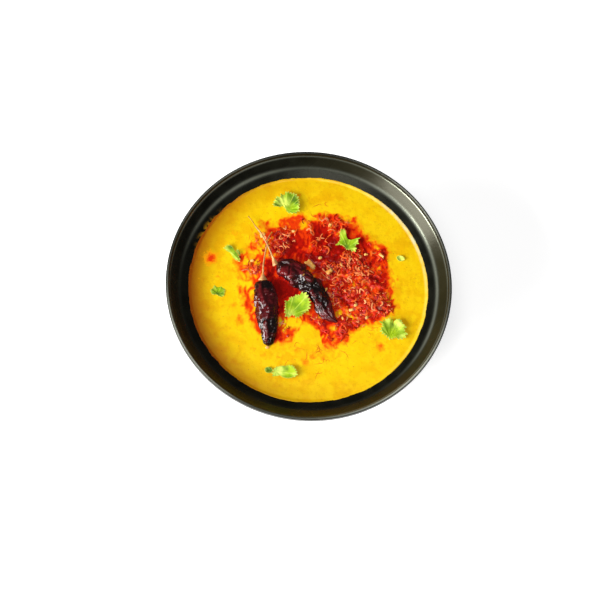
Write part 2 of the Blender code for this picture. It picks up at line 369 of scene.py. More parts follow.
def stained(tree, tone, stains):
    """Tone, with one more colour for each value that the points carry."""
    for key, colour in stains:
        tone = blend_colours(tree, attribute(tree, key), tone, colour)
    return tone


# %% [markdown]
# ### Two effects that several finishes share
# Wet food and glaze are never one even tone. "Mottle" mixes two colours by soft noise, and
# "Grain" gives a fine uneven height for a bump. Each is built once as a node group with named
# inputs, and each finish places it with its own scale and colours.

# %% The mottle group
def add_sockets(group, inputs, outputs):
    """Give a node group its sockets, each a name and a kind, and return its two end nodes."""
    for direction, sockets in (("INPUT", inputs), ("OUTPUT", outputs)):
        for name, kind in sockets:
            group.interface.new_socket(name, in_out=direction, socket_type="NodeSocket" + kind)
    return group.nodes.new("NodeGroupInput"), group.nodes.new("NodeGroupOutput")


def build_mottle():
    group = bpy.data.node_groups.new("mottle", "ShaderNodeTree")
    inward, outward = add_sockets(
        group, (("Vector", "Vector"), ("Scale", "Float"), ("Low", "Color"), ("High", "Color")),
        (("Colour", "Color"),))
    texture = add_node(group, "ShaderNodeTexNoise")
    texture.inputs["Detail"].default_value = 4.0
    group.links.new(inward.outputs["Vector"], texture.inputs["Vector"])
    group.links.new(inward.outputs["Scale"], texture.inputs["Scale"])
    mask = steps_between(group, texture.outputs["Fac"], 0.34, 0.66)
    colour = blend_colours(group, mask, inward.outputs["Low"], inward.outputs["High"])
    group.links.new(colour, outward.inputs["Colour"])
    return group


MOTTLE = build_mottle()


def mottle(tree, scale, low, high):
    made = add_node(tree, "ShaderNodeGroup", node_tree=MOTTLE)
    for key, source in (("Vector", own_place(tree)), ("Scale", scale),
                        ("Low", low), ("High", high)):
        feed(tree, source, made.inputs[key])
    return made.outputs["Colour"]


# %% The grain group
def build_grain():
    group = bpy.data.node_groups.new("grain", "ShaderNodeTree")
    inward, outward = add_sockets(
        group, (("Vector", "Vector"), ("Fine scale", "Float"), ("Coarse scale", "Float")),
        (("Height", "Float"),))
    heights = []
    for key in ("Fine scale", "Coarse scale"):
        texture = add_node(group, "ShaderNodeTexNoise")
        texture.inputs["Detail"].default_value = 3.0
        group.links.new(inward.outputs["Vector"], texture.inputs["Vector"])
        group.links.new(inward.outputs[key], texture.inputs["Scale"])
        heights.append(texture.outputs["Fac"])
    fine = maths(group, "MULTIPLY", heights[0], 0.35)
    group.links.new(maths(group, "ADD", fine, heights[1]), outward.inputs["Height"])
    return group


GRAIN = build_grain()


def grain(tree, fine, coarse):
    made = add_node(tree, "ShaderNodeGroup", node_tree=GRAIN)
    for key, source in (("Vector", own_place(tree)), ("Fine scale", fine),
                        ("Coarse scale", coarse)):
        feed(tree, source, made.inputs[key])
    return made.outputs["Height"]


def dressed(material, tone, fine, coarse, strength, distance):
    """Give a material its colour and a fine grain, and hand it back."""
    tree = material.node_tree
    shader = tree.nodes["Principled BSDF"]
    tree.links.new(tone, shader.inputs["Base Color"])
    bump(tree, shader, grain(tree, fine, coarse), strength, distance)
    return material


# %% The floor
FLOOR_HALF = 2.5
FLOOR_GLOW = 0.60


def build_floor():
    shape = bmesh.new()
    bmesh.ops.create_grid(shape, x_segments=1, y_segments=1, size=FLOOR_HALF)
    mesh = bpy.data.meshes.new("floor")
    shape.to_mesh(mesh)
    shape.free()
    material, _, shader = new_finish("floor_paper", roughness=0.9, specular=0.1)
    shader.inputs["Base Color"].default_value = (0.93, 0.93, 0.93, 1.0)
    shader.inputs["Emission Color"].default_value = (1.0, 1.0, 1.0, 1.0)
    shader.inputs["Emission Strength"].default_value = FLOOR_GLOW
    mesh.materials.append(material)
    floor = bpy.data.objects.new("floor", mesh)
    bpy.context.scene.collection.objects.link(floor)


build_floor()


# %% The lights
def soft_box(name, azimuth, elevation, distance, width, height, power, colour=(1, 1, 1)):
    """A flat lamp that faces the dal, at degrees round from +X and up from the table."""
    lamp = bpy.data.lights.new(name, "AREA")
    lamp.shape = "RECTANGLE"
    lamp.size, lamp.size_y = width, height
    lamp.energy = power
    lamp.color = colour
    holder = bpy.data.objects.new(name, lamp)
    bpy.context.scene.collection.objects.link(holder)
    turn, rise = math.radians(azimuth), math.radians(elevation)
    flat = math.cos(rise)
    away = Vector((math.cos(turn) * flat, math.sin(turn) * flat, math.sin(rise)))
    aim = Vector((0.0, 0.0, DAL_LEVEL * MM))
    holder.location = aim + away * distance
    holder.rotation_euler = away.to_track_quat("Z", "Y").to_euler()


soft_box("window", 210, 23, 1.0, 0.72, 0.50, 19.5, (1.0, 0.99, 0.97))
soft_box("top", 258, 76, 1.1, 0.5, 0.5, 5.0)

SKY_LIGHT, SKY_SEEN = 0.085, 0.92
world = bpy.data.worlds.new("studio")
world.use_nodes = True
sky = world.node_tree
seen = add_node(sky, "ShaderNodeLightPath").outputs["Is Camera Ray"]
backdrop = sky.nodes["Background"]
backdrop.inputs["Color"].default_value = (1.0, 1.0, 1.0, 1.0)
sky.links.new(steps_between(sky, seen, 0.0, 1.0, SKY_LIGHT, SKY_SEEN), backdrop.inputs["Strength"])
bpy.context.scene.world = world
print("two soft boxes and a dim sky that looks pale")

# %% [markdown]
# ## The bowl
# The bowl is thrown stoneware with a satin black glaze. Its section has an upright rim with a
# rounded lip, a flared upper band, a turned crease, and a shallow ledge that the dal meets.
# A lathe shape is best made as one section line that is spun, because each feature is then a
# few points of that line. Thin lines on the lip and the crease are painted highlights, pale and
# partly metallic, strongest at the directions where the lamps would glint; the upper band gets a
# painted reflection, an olive tint. Values on the points say where, and the finish turns them
# into colour.

# %% The bowl's section
OUTER_WALL = quadratic((45.0, 6.0), (68.0, 12.0), (77.5, 42.0), 26)


def inner_wall(gap=WALL):
    """The inside wall, a steady thickness inside the outer one."""
    line = [(45.0, 6.0)] + OUTER_WALL
    moved = []
    for index, (x, z) in enumerate(line):
        x0, z0 = line[max(index - 1, 0)]
        x1, z1 = line[min(index + 1, len(line) - 1)]
        length = math.hypot(x1 - x0, z1 - z0)
        moved.append((x - (z1 - z0) / length * gap, z + (x1 - x0) / length * gap))
    return moved


def ledge_height(radius):
    slope = (CREASE_HEIGHT - DAL_LEVEL) / (CREASE_RADIUS - DAL_RADIUS)
    return DAL_LEVEL + (radius - DAL_RADIUS) * slope


def bowl_section():
    side = inner_wall()
    inside = [(0.0, 7.5)] + quadratic((0.0, 7.5), (side[0][0] * 0.6, 7.5), side[0], 10) + side[1:]
    ledge_start = (LEDGE_RADIUS, ledge_height(LEDGE_RADIUS))
    crease = (CREASE_RADIUS, CREASE_HEIGHT)
    before_crease = (CREASE_RADIUS - 1.5, ledge_height(CREASE_RADIUS - 1.5))
    after_crease = (CREASE_RADIUS + 1.1, CREASE_HEIGHT + 1.05)
    lip_start = (RIM_RADIUS - LIP_WIDTH - 0.2, BOWL_HEIGHT - LIP_DROP - 0.3)
    section = inside + [ledge_start] + straight(ledge_start, before_crease, 9)
    section += quadratic(before_crease, crease, after_crease, 9)
    section += quadratic(after_crease, (85.1, 55.15), lip_start, 9)
    top = BOWL_HEIGHT - 0.15
    section += quadratic(lip_start, (87.75, 57.85), (87.9, 58.5), 6)
    section += quadratic((87.9, 58.5), (88.2, top), (88.9, BOWL_HEIGHT), 6) + [(89.35, top)]
    section += quadratic((89.35, top), (RIM_RADIUS, top), (RIM_RADIUS, 59.1), 6)
    section += [(RIM_RADIUS, BOWL_HEIGHT - 3.6), (RIM_RADIUS - 0.3, BOWL_HEIGHT - 4.3),
                (RIM_RADIUS - 1.3, BOWL_HEIGHT - 5.3)]
    section += quadratic(section[-1], (80.5, 49.0), (77.5, 42.0), 10)
    section += list(reversed(OUTER_WALL))[1:] + [(45.0, 6.0)]
    section += [(43.9, 5.3), (43.5, 4.2), (43.1, 0.9), (42.9, 0.4), (42.4, 0.0), (39.1, 0.0),
                (38.6, 0.4), (38.4, 0.9), (38.0, 2.0), (37.0, 2.5), (0.0, 2.5)]
    return section


# %% The glaze
def black_glaze():
    material, tree, shader = new_finish("black_glaze", specular=0.21)
    shader.inputs["Specular Tint"].default_value = (1.0, 1.0, 0.80, 1.0)
    tone = mottle(tree, 120.0, (0.0035, 0.0038, 0.0026), (0.0070, 0.0074, 0.0052))
    # Painted highlights: pale glint lines on the lip and the crease, and on the top of the lip.
    # Painted reflection: an olive tint on the upper band.
    tone = stained(tree, tone, (("painted_glint_line", (0.42, 0.45, 0.36)), ("painted_reflection", (0.040, 0.033, 0.010)),
                                ("painted_top_glint", (0.50, 0.52, 0.44))))
    smear = maths(tree, "MULTIPLY", attribute(tree, "splash"),
                  steps_between(tree, noise_at(tree, 260.0, 3.0), 0.44, 0.62))
    tone = blend_colours(tree, smear, tone, (0.55, 0.26, 0.006))
    # The painted glint lines are also made metallic, so they catch the lamps' real light.
    metal = maths(tree, "MULTIPLY", attribute(tree, "painted_glint_line"), 0.9)
    tree.links.new(metal, shader.inputs["Metallic"])
    uneven = steps_between(tree, noise_at(tree, 60.0, 1.0), 0.3, 0.7, 0.23, 0.28)
    tree.links.new(uneven, shader.inputs["Roughness"])
    return dressed(material, tone, 1200.0, 160.0, 0.03, 0.0004)


def round_about(places, around):
    """A share from bumps round the bowl, each with a direction, a width and a strength."""
    total = 0.0
    for middle, width, strength in places:
        apart = (around - middle + 180.0) % 360.0 - 180.0
        total += strength * math.exp(-(apart / width) ** 2)
    return total


# Where round the bowl the painted highlights and the painted reflection are strongest: direction,
# width and strength.
PAINTED_CREASE_GLINTS = ((35.0, 40.0, 1.8), (138.0, 24.0, 1.9), (345.0, 18.0, 0.6), (100.0, 200.0, 0.10))
PAINTED_LIP_GLINTS = ((42.0, 26.0, 0.9), (140.0, 28.0, 0.8), (315.0, 30.0, 0.5), (100.0, 200.0, 0.12))
PAINTED_TOP_GLINTS = ((216.0, 26.0, 1.0), (318.0, 32.0, 0.9), (40.0, 30.0, 0.3), (140.0, 26.0, 0.3))
PAINTED_WALL_REFLECTION = ((330.0, 36.0, 0.55), (40.0, 45.0, 0.60))
SPLASH_MIDDLE, SPLASH_WIDTH = 157.0, 8.0
LIP_EDGE = (87.55, 57.75)
LIP_TOP = (88.75, 59.95)
CREASE = (CREASE_RADIUS, CREASE_HEIGHT)


def near(radius, height, line, softness):
    """How close a place on the section is to a line that runs round the bowl, from 0 to 1."""
    return math.exp(-((radius - line[0]) ** 2 + (height - line[1]) ** 2) / softness)


def build_bowl():
    shape = turned(bowl_section(), 240)
    painted_glint_line, painted_top_glint, splash, painted_reflection = point_values(shape, "painted_glint_line", "painted_top_glint", "splash", "painted_reflection")
    for vert in shape.verts:
        radius, height = math.hypot(vert.co.x, vert.co.y), vert.co.z
        around = math.degrees(math.atan2(vert.co.y, vert.co.x))
        uneven = 0.8 + 0.3 * noise.noise(vert.co / 22.0)
        # The top of the lip gets a painted glint, the lip's inner edge and the crease get painted
        # highlight lines, and the upper band a painted reflection.
        bead = near(radius, height, LIP_TOP, 0.42)
        vert[painted_top_glint] = min(1.0, bead * round_about(PAINTED_TOP_GLINTS, around) * uneven)
        lines = 1.1 * near(radius, height, LIP_EDGE, 0.12) * round_about(PAINTED_LIP_GLINTS, around)
        lines += 0.34 * near(radius, height, CREASE, 1.0) * round_about(PAINTED_CREASE_GLINTS, around)
        vert[painted_glint_line] = min(1.0, lines * uneven)
        band = smooth_step(CREASE_RADIUS, CREASE_RADIUS + 1.6, radius)
        band *= smooth_step(RIM_RADIUS - 2.0, RIM_RADIUS - 3.0, radius)
        vert[painted_reflection] = band * min(1.0, round_about(PAINTED_WALL_REFLECTION, around)) * uneven
        smeared = math.exp(-((around - SPLASH_MIDDLE) / SPLASH_WIDTH) ** 2)
        above = smooth_step(DAL_RADIUS + 3.5, DAL_RADIUS, radius) * (height > DAL_LEVEL - 1)
        vert[splash] = smeared * above
    return finish_piece("stoneware_bowl", shape, black_glaze(), ["bowl"], 180)


build_bowl()

# %% [markdown]
# ## Where the tempering lies
# The tempering was poured on from a hot pan. It is a ragged patch: a low mound of fried bits
# on the right, thin red oil on the left, with the dal showing through. Its outline is a closed
# smooth curve through a few points, kept as a reach for each direction from a middle. Both the
# dal's stain and the mound read the same outline, so the two always agree.

# %% The outline as a reach for each direction
PATCH_MIDDLE = Vector((4.0, 5.0))
PATCH_POINTS = (
    (-35.5, 39.0), (-26.0, 42.0), (-13.5, 47.0), (-2.0, 49.0), (10.5, 50.5), (22.0, 49.5),
    (29.0, 43.5), (34.5, 37.5), (41.0, 36.5), (47.0, 32.0), (48.5, 24.0), (53.0, 12.0),
    (54.0, 1.0), (57.0, -6.5), (51.0, -14.0), (43.0, -19.5), (36.0, -24.0), (28.0, -31.0),
    (21.5, -39.0), (13.5, -38.5), (10.0, -28.5), (0.0, -25.5), (-6.0, -38.0), (-17.0, -40.0),
    (-28.0, -36.0), (-36.0, -22.0), (-43.5, -7.0), (-47.0, 10.0), (-42.0, 25.0),
)


def reach_table(points, middle, count=720):
    """The outline's distance from the middle, for count directions."""
    curve = through([Vector(point) for point in points], 12, closed=True)
    polar = sorted((math.atan2(p.y - middle.y, p.x - middle.x), (p - middle).length) for p in curve)
    polar = [(polar[-1][0] - 2 * math.pi, polar[-1][1])] + polar
    polar.append((polar[1][0] + 2 * math.pi, polar[1][1]))
    table, place = [], 0
    for step in range(count):
        turn = -math.pi + 2 * math.pi * step / count
        while polar[place + 1][0] < turn:
            place += 1
        (a0, r0), (a1, r1) = polar[place], polar[place + 1]
        table.append(mix(r0, r1, (turn - a0) / max(a1 - a0, 1e-9)))
    return table


PATCH_REACH = reach_table(PATCH_POINTS, PATCH_MIDDLE)


def patch_reach(turn):
    place = (turn + math.pi) / (2 * math.pi) * len(PATCH_REACH)
    index = int(place) % len(PATCH_REACH)
    return mix(PATCH_REACH[index], PATCH_REACH[(index + 1) % len(PATCH_REACH)], place - int(place))


def inside_patch(x, y):
    """Millimetres inside the patch's edge: above 0 inside it, below 0 outside."""
    dx, dy = x - PATCH_MIDDLE.x, y - PATCH_MIDDLE.y
    return patch_reach(math.atan2(dy, dx)) - math.hypot(dx, dy)


print(f"the patch reaches {min(PATCH_REACH):.0f} to {max(PATCH_REACH):.0f} mm from its middle")

# %% How high and how red it is
HEAPS = (  # x, y, radius and height of the places where fried bits gather
    (28.0, 18.0, 11.0, 0.85), (45.0, -7.0, 11.0, 0.95), (24.0, -6.0, 11.0, 0.75),
    (36.0, 2.0, 12.0, 0.45), (14.0, 46.0, 9.0, 0.65), (46.0, 28.0, 4.5, 0.9),
    (-22.0, 31.0, 8.0, 0.60), (-36.0, 7.0, 5.0, 0.65), (28.0, -22.0, 9.0, 0.70),
    (10.0, 14.0, 10.0, 0.40), (2.0, 24.0, 9.0, 0.30), (-24.0, 20.0, 6.0, 0.35),
    (7.0, -23.0, 6.0, 0.45), (-35.0, 22.0, 7.0, 0.25), (40.0, 14.0, 9.0, 0.25),
)
POOLS = (  # x, y, radius and depth of the places where the oil is deep and dark
    (6.0, 36.0, 8.0, 0.22), (21.0, 27.0, 7.0, 0.30), (-14.0, 27.0, 6.0, 0.35),
    (-4.0, 20.0, 6.0, 0.30), (-9.0, -5.0, 6.0, 0.45), (-1.0, 24.0, 4.5, 0.35),
    (42.0, 6.0, 7.0, 0.18), (31.0, 33.0, 6.0, 0.22), (14.0, -24.0, 4.0, 0.30),
    (-22.0, 20.0, 5.0, 0.30),
    (2.0, 39.0, 7.0, 0.36), (12.0, 25.0, 8.0, 0.50), (16.0, 20.0, 7.0, 0.30),
    (-21.0, 33.0, 6.0, 0.35), (-16.0, 24.0, 6.0, 0.40), (-19.0, -4.0, 8.5, 0.62),
    (-26.0, 11.0, 4.5, 0.45), (27.0, 20.0, 9.0, 0.30), (18.0, 2.0, 8.0, 0.35),
    (25.0, -5.0, 7.0, 0.40), (8.0, 15.0, 6.0, 0.40), (46.0, 29.0, 3.5, 0.50),
    (-14.0, -35.0, 3.5, 0.45), (22.0, 40.0, 6.0, 0.25), (16.0, 46.0, 6.0, 0.25),
    (34.0, -10.0, 6.0, 0.20), (-36.0, 7.0, 3.5, 0.40), (47.0, -8.0, 7.0, 0.15),
    (-29.0, -22.0, 5.0, 0.25), (36.0, 22.0, 6.0, 0.20), (50.0, 8.0, 5.0, 0.15),
)
GAPS = (  # x, y, radius and strength of the places where the oil is thin over the dal
    (-7.0, 42.5, 4.5, 0.55), (-19.0, 40.0, 5.0, 0.20), (4.0, 30.0, 4.0, 0.16),
    (26.0, -1.0, 4.5, 0.30), (24.0, -14.0, 4.5, 0.50), (42.0, 17.0, 4.0, 0.20),
    (-36.0, 18.0, 8.0, 0.20), (-34.0, 34.0, 7.0, 0.30), (-39.0, -2.0, 3.5, 0.35),
    (-35.0, -10.0, 3.0, 0.35), (-8.0, -26.5, 5.5, 0.60), (-1.0, -36.0, 5.0, 0.60),
    (37.0, -27.0, 4.0, 0.35), (32.0, 9.0, 4.0, 0.20), (-10.0, 33.0, 4.0, 0.16),
    (52.0, -2.0, 3.5, 0.20), (36.0, -17.0, 4.0, 0.20), (28.0, 3.0, 3.5, 0.20),
)
DROPS = (  # x, y, radius and depth of loose oil drops on the dal
    (-64.3, 10.3, 3.8, 0.50), (-39.9, -29.2, 3.2, 0.24), (-41.0, -26.0, 2.0, 0.16),
    (-45.2, -19.2, 2.4, 0.20), (49.3, -34.0, 3.0, 0.32), (3.9, -50.2, 2.8, 0.24),
    (8.0, -46.5, 2.0, 0.20), (-14.0, 62.5, 1.6, 0.20), (-50.0, 4.5, 1.4, 0.16),
    (15.0, -46.0, 2.0, 0.18), (24.0, -43.0, 2.0, 0.16), (-2.0, -43.5, 2.4, 0.22),
    (-36.0, -36.0, 2.0, 0.14), (60.0, -6.0, 1.4, 0.12), (-22.0, -49.0, 2.0, 0.14),
    (-52.0, 30.0, 4.0, 0.08), (-58.0, -2.0, 3.0, 0.10), (12.0, -43.0, 6.0, 0.10),
    (-12.0, -48.0, 5.0, 0.08), (-30.0, -46.0, 3.0, 0.10), (62.0, 14.0, 5.0, 0.05),
)


def spots(places, x, y):
    return sum(strength * math.exp(-((x - cx) ** 2 + (y - cy) ** 2) / (radius * radius))
               for cx, cy, radius, strength in places
               if abs(x - cx) < 2.6 * radius and abs(y - cy) < 2.6 * radius)


def oil_at(x, y):
    """How much red oil lies on the dal: 0 is none, 0.4 is orange, 1 is a deep pool."""
    oil = 1.25 * spots(DROPS, x, y)
    depth = inside_patch(x, y)
    if depth > -8.0:
        ragged = 4.0 * wobble(x, y, 8.0, 3.0) + 2.6 * wobble(x, y, 3.2, 5.0)
        ragged += 1.4 * wobble(x, y, 1.5, 9.0)
        inside = smooth_step(-4.2, 5.0, depth + ragged)
        body = mix(0.44, 0.66, smooth_step(-34.0, -26.0, x))
        swirl_x, swirl_y = x + 3.5 * wobble(x, y, 8.0, 51.0), y + 3.5 * wobble(x, y, 8.0, 53.0)
        streaks = 0.5 - 2.2 * abs(wobble(swirl_x, 0.55 * swirl_y, 4.0, 15.0))
        body += 0.42 * wobble(x, y, 7.0, 12.0) + 0.40 * streaks
        body += 0.30 * wobble(1.5 * swirl_x, 0.7 * swirl_y, 2.4, 17.0)
        body += spots(POOLS, x, y) - 1.15 * spots(GAPS, x, y)
        oil = max(oil, inside * max(0.0, min(1.2, body)))
    return oil


def mound_at(x, y):
    """Height of the fried bits above the dal; below 0 they are under its surface."""
    ragged = 2.6 * wobble(x, y, 6.0, 21.0) + 1.6 * wobble(x, y, 2.4, 23.0)
    edge = smooth_step(0.0, 7.0, inside_patch(x, y) + ragged)
    lumps = 0.95 * wobble(x, y, 5.2, 31.0) + 0.80 * wobble(x, y, 2.8, 33.0)
    crumbs = 0.42 * abs(wobble(x, y, 1.9, 35.0)) + 0.10 * wobble(x, y, 0.9, 37.0)
    heap = min(1.2, spots(HEAPS, x, y))
    height = -0.34 + 1.0 * heap + (0.35 + 0.65 * min(1.0, heap)) * (lumps + crumbs)
    return edge * (height + 0.5) - 0.5 - 0.3 * spots(GAPS, x, y)


print(f"oil in a pool {oil_at(-18.0, 0.0):.2f}, and outside the patch {oil_at(-60.0, 40.0):.2f}")

# %% [markdown]
# ## The dal
# Lentil soup is thick, so its face isn't flat: soft swells from the ladle, tiny grains, and an
# edge that creeps up the glaze. A spun net with rings close together gives enough points to
# carry both the swells and the oil's stain, which is kept as a value on each point and turned
# into colour by the finish. The sides and the underside follow the bowl's inner wall.

# %% The colours of oil over dal
OIL_STEPS = (  # amount from, amount to, colour
    (0.05, 0.24, (0.93, 0.380, 0.0020)), (0.22, 0.40, (0.92, 0.180, 0.0020)),
    (0.38, 0.56, (0.82, 0.044, 0.0020)), (0.66, 0.90, (0.50, 0.0070, 0.0018)),
    (0.94, 1.20, (0.26, 0.0030, 0.0015)),
)


def oil_grain(tree):
    """Fine unevenness that breaks up the oil's edges."""
    fine = maths(tree, "SUBTRACT", noise_at(tree, 560.0, 3.0), 0.5)
    return maths(tree, "MULTIPLY", fine, 0.50)


def oil_colours(tree, oil, tone):
    """Colour tone, stained from amber to dark red as the oil gets deeper."""
    for low, high, colour in OIL_STEPS:
        tone = blend_colours(tree, steps_between(tree, oil, low, high), tone, colour)
    return tone


# %% The yellow dal's finish
def yellow_dal():
    material, tree, shader = new_finish("yellow_dal", roughness=0.28, specular=0.20)
    tone = mottle(tree, 45.0, (0.88, 0.470, 0.0010), (0.96, 0.610, 0.0016))
    tone = blotches(tree, tone, (0.97, 0.650, 0.0040), 150.0, 4.0, 0.40, 0.60, 0.80)
    tone = blotches(tree, tone, (0.70, 0.310, 0.0015), 520.0, 3.0, 0.54, 0.70, 0.32)
    tone = blotches(tree, tone, (0.30, 0.130, 0.0040), 900.0, 2.0, 0.70, 0.76, 0.40, 0.4)
    # Painted shade: the left wall's shadow, orange-brown on the dal's left side. Painted highlight:
    # a whitish glint on the meniscus at the far right.
    tone = stained(tree, tone, (("painted_wall_shade", (0.40, 0.085, 0.0010)), ("painted_meniscus_glint", (0.66, 0.60, 0.34))))
    oil = maths(tree, "ADD", attribute(tree, "oil"), oil_grain(tree))
    tone = oil_colours(tree, oil, tone)
    tree.links.new(steps_between(tree, oil, 0.3, 0.8, 0.28, 0.12), shader.inputs["Roughness"])
    return dressed(material, tone, 1500.0, 260.0, 0.22, 0.0006)


# %% The dal's shape
def dal_surface(x, y):
    radius = math.hypot(x, y)
    swell = 0.16 * wobble(x, y, 24.0, 41.0) + 0.07 * wobble(x, y, 8.0, 43.0)
    swell += 0.045 * wobble(x, y, 3.0, 45.0) + 0.02 * wobble(x, y, 1.3, 47.0)
    creep = 0.70 * smooth_step(DAL_RADIUS - 1.5, DAL_RADIUS + 0.6, radius)
    uneven = 0.20 * noise.noise(Vector((x, y, 3.0)) / 7.0)
    uneven += 0.10 * noise.noise(Vector((x, y, 9.0)) / 2.4)
    return DAL_LEVEL - 0.12 + swell + creep * (0.7 + 2.0 * uneven)


# Where round the dal its meniscus carries a painted glint: direction, width and strength.
PAINTED_GLINT_SIDES = ((41.0, 20.0, 1.0), (10.0, 40.0, 0.25))


def build_dal():
    top_edge = DAL_RADIUS + 0.9
    rings = 168
    top = [(top_edge * ring / rings, DAL_LEVEL) for ring in range(rings + 1)]
    wall = list(reversed(inner_wall(4.2)))[::3]
    side = [(LEDGE_RADIUS + 0.6, ledge_height(LEDGE_RADIUS) - 0.6)] + wall
    shape = turned(top + side + [(20.0, 8.0), (0.0, 7.7)], 400)
    oil, painted_wall_shade, painted_meniscus_glint = point_values(shape, "oil", "painted_wall_shade", "painted_meniscus_glint")
    for vert in shape.verts:
        x, y, z = vert.co
        if z > DAL_LEVEL - 0.01:
            vert.co.z = dal_surface(x, y)
            vert[oil] = oil_at(x, y)
            radius = math.hypot(x, y)
            around = math.atan2(y, x)
            # Painted shade of the left wall: a wide soft band and a narrow rim at the very edge,
            # strongest on the left.
            lean = (0.5 - 0.5 * math.cos(around - math.radians(10))) ** 2.0
            thin = smooth_step(DAL_RADIUS - 1.4, DAL_RADIUS + 0.2, radius) * 0.3 * lean
            wide = smooth_step(DAL_RADIUS - 19.0, DAL_RADIUS + 1.0, radius) * 0.95 * lean
            vert[painted_wall_shade] = min(1.0, thin + wide)
            # A painted highlight on the meniscus, whitish, where the lamps would glint on the wet
            # edge.
            facing = round_about(PAINTED_GLINT_SIDES, math.degrees(around))
            line = smooth_step(DAL_RADIUS - 2.0, DAL_RADIUS - 0.6, radius)
            uneven = 0.75 + 0.8 * noise.noise(Vector((x, y, 5.0)) / 3.0)
            vert[painted_meniscus_glint] = facing * line * min(1.0, uneven)
    return finish_piece("lentil_soup", shape, yellow_dal(), ["dal"], 180)


build_dal()

# %% [markdown]
# ## The tempering's core
# A heap of small fried bits is too fine to model bit by bit all the way down, so its body is
# one low relief with a ragged shore, and loose bits lie on top. Where the relief dips under
# the dal's face, the dal shows through by itself.

# %% The core's finish
def tempering_core():
    material, tree, shader = new_finish("tempering_core", roughness=0.2, coat=0.05,
                                        coat_roughness=0.08, specular=0.24)
    oil = maths(tree, "ADD", attribute(tree, "oil"), oil_grain(tree))
    tone = oil_colours(tree, oil, (0.93, 0.590, 0.0030))
    ragged = maths(tree, "SUBTRACT", noise_at(tree, 700.0, 3.0), 0.5)
    rise = maths(tree, "ADD", attribute(tree, "rise"), maths(tree, "MULTIPLY", ragged, 0.9))
    bits = steps_between(tree, noise_at(tree, 260.0, 3.0), 0.42, 0.60, 0.05, 0.9)
    fried = maths(tree, "MULTIPLY", steps_between(tree, rise, 0.55, 1.25), bits)
    tone = blend_colours(tree, fried, tone, (0.42, 0.012, 0.0025))
    tan = maths(tree, "MULTIPLY", steps_between(tree, rise, 0.15, 0.7),
                steps_between(tree, noise_at(tree, 680.0, 2.0, 0.4), 0.60, 0.70, 0.0, 0.65))
    tone = blend_colours(tree, tan, tone, (0.92, 0.24, 0.030))
    tree.links.new(steps_between(tree, noise_at(tree, 500.0), 0.35, 0.65, 0.14, 0.34),
                   shader.inputs["Roughness"])
    return dressed(material, tone, 2200.0, 600.0, 0.40, 0.0008)


# %% The core's shape
def build_core():
    shape = disc(112, 420)
    rise, oil = point_values(shape, "rise", "oil")
    for vert in shape.verts:
        turn, share = math.atan2(vert.co.y, vert.co.x), math.hypot(vert.co.x, vert.co.y)
        reach = share * patch_reach(turn)
        x, y = PATCH_MIDDLE.x + reach * math.cos(turn), PATCH_MIDDLE.y + reach * math.sin(turn)
        height = mound_at(x, y)
        vert[rise] = height
        vert[oil] = oil_at(x, y)
        vert.co = (x, y, dal_surface(x, y) + height)
    face_up(shape)
    rim = [edge for edge in shape.edges if edge.is_boundary]
    skirt = bmesh.ops.extrude_edge_only(shape, edges=rim)["geom"]
    low = [item for item in skirt if isinstance(item, bmesh.types.BMVert)]
    for vert in low:
        vert.co.z = DAL_LEVEL - 1.6
    bmesh.ops.contextual_create(shape, geom=low)
    bmesh.ops.recalc_face_normals(shape, faces=shape.faces)
    return finish_piece("tempering", shape, tempering_core(), ["tadka"], 180)


build_core()


def ground_at(x, y):
    """The top of whatever lies at x, y: dal or tempering."""
    return dal_surface(x, y) + max(0.0, mound_at(x, y) if inside_patch(x, y) > 0 else 0.0)


# %% [markdown]
# ## Fried slivers
# Most of what catches the light in the tempering is thin curled strips of onion and chilli
# skin. A few curved strips are modelled, each a small tube that is squashed flat and tapers,
# and hundreds of turned and stretched copies are joined into one mesh. Each copy carries one
# tint value, so that one finish gives many colours.

# %% A few slivers to copy
def sliver(length, bend, rise, thick, seed):
    draw = random.Random(seed)
    stations = []
    for step in range(7):
        share = step / 6
        turn = bend * (share - 0.5)
        middle = Vector((length * (share - 0.5),
                         length * 0.35 * (math.cos(turn) - 1) * (1 if bend > 0 else -1) * 2.2,
                         rise * math.sin(math.pi * share) + draw.uniform(-0.05, 0.05)))
        taper = 0.35 + 0.65 * math.sin(math.pi * (0.12 + 0.76 * share))
        stations.append((middle, thick * taper, thick * 0.45 * taper))
    shape, _ = tube(stations, 5)
    return template(shape, f"sliver_{seed}")


SLIVERS = [sliver(3.8, 1.8, 0.5, 0.44, 1), sliver(4.6, -2.4, 0.7, 0.40, 2),
           sliver(3.2, 3.0, 0.5, 0.46, 3), sliver(5.6, 1.4, 0.8, 0.38, 4),
           sliver(3.6, -3.4, 0.6, 0.42, 5), sliver(2.4, 0.9, 0.3, 0.50, 6)]
print(len(SLIVERS), "slivers to copy")

# %% The slivers' finish
def tinted(tree, tone, steps):
    """The colour of a copy, by the tint value that the copy carries."""
    tint = attribute(tree, "tint")
    for low, high, colour in steps:
        tone = blend_colours(tree, steps_between(tree, tint, low, high), tone, colour)
    return tone


def fried_sliver():
    material, tree, _ = new_finish("fried_sliver", roughness=0.30, specular=0.24)
    tone = tinted(tree, (0.34, 0.005, 0.002), ((0.05, 0.25, (0.68, 0.018, 0.002)),
                                               (0.38, 0.66, (0.86, 0.12, 0.012)),
                                               (0.70, 1.00, (0.97, 0.40, 0.15))))
    tone = blotches(tree, tone, (0.50, 0.02, 0.005), 1500.0, 2.0, 0.52, 0.70, 0.5)
    return dressed(material, tone, 3000.0, 1400.0, 0.3, 0.0003)


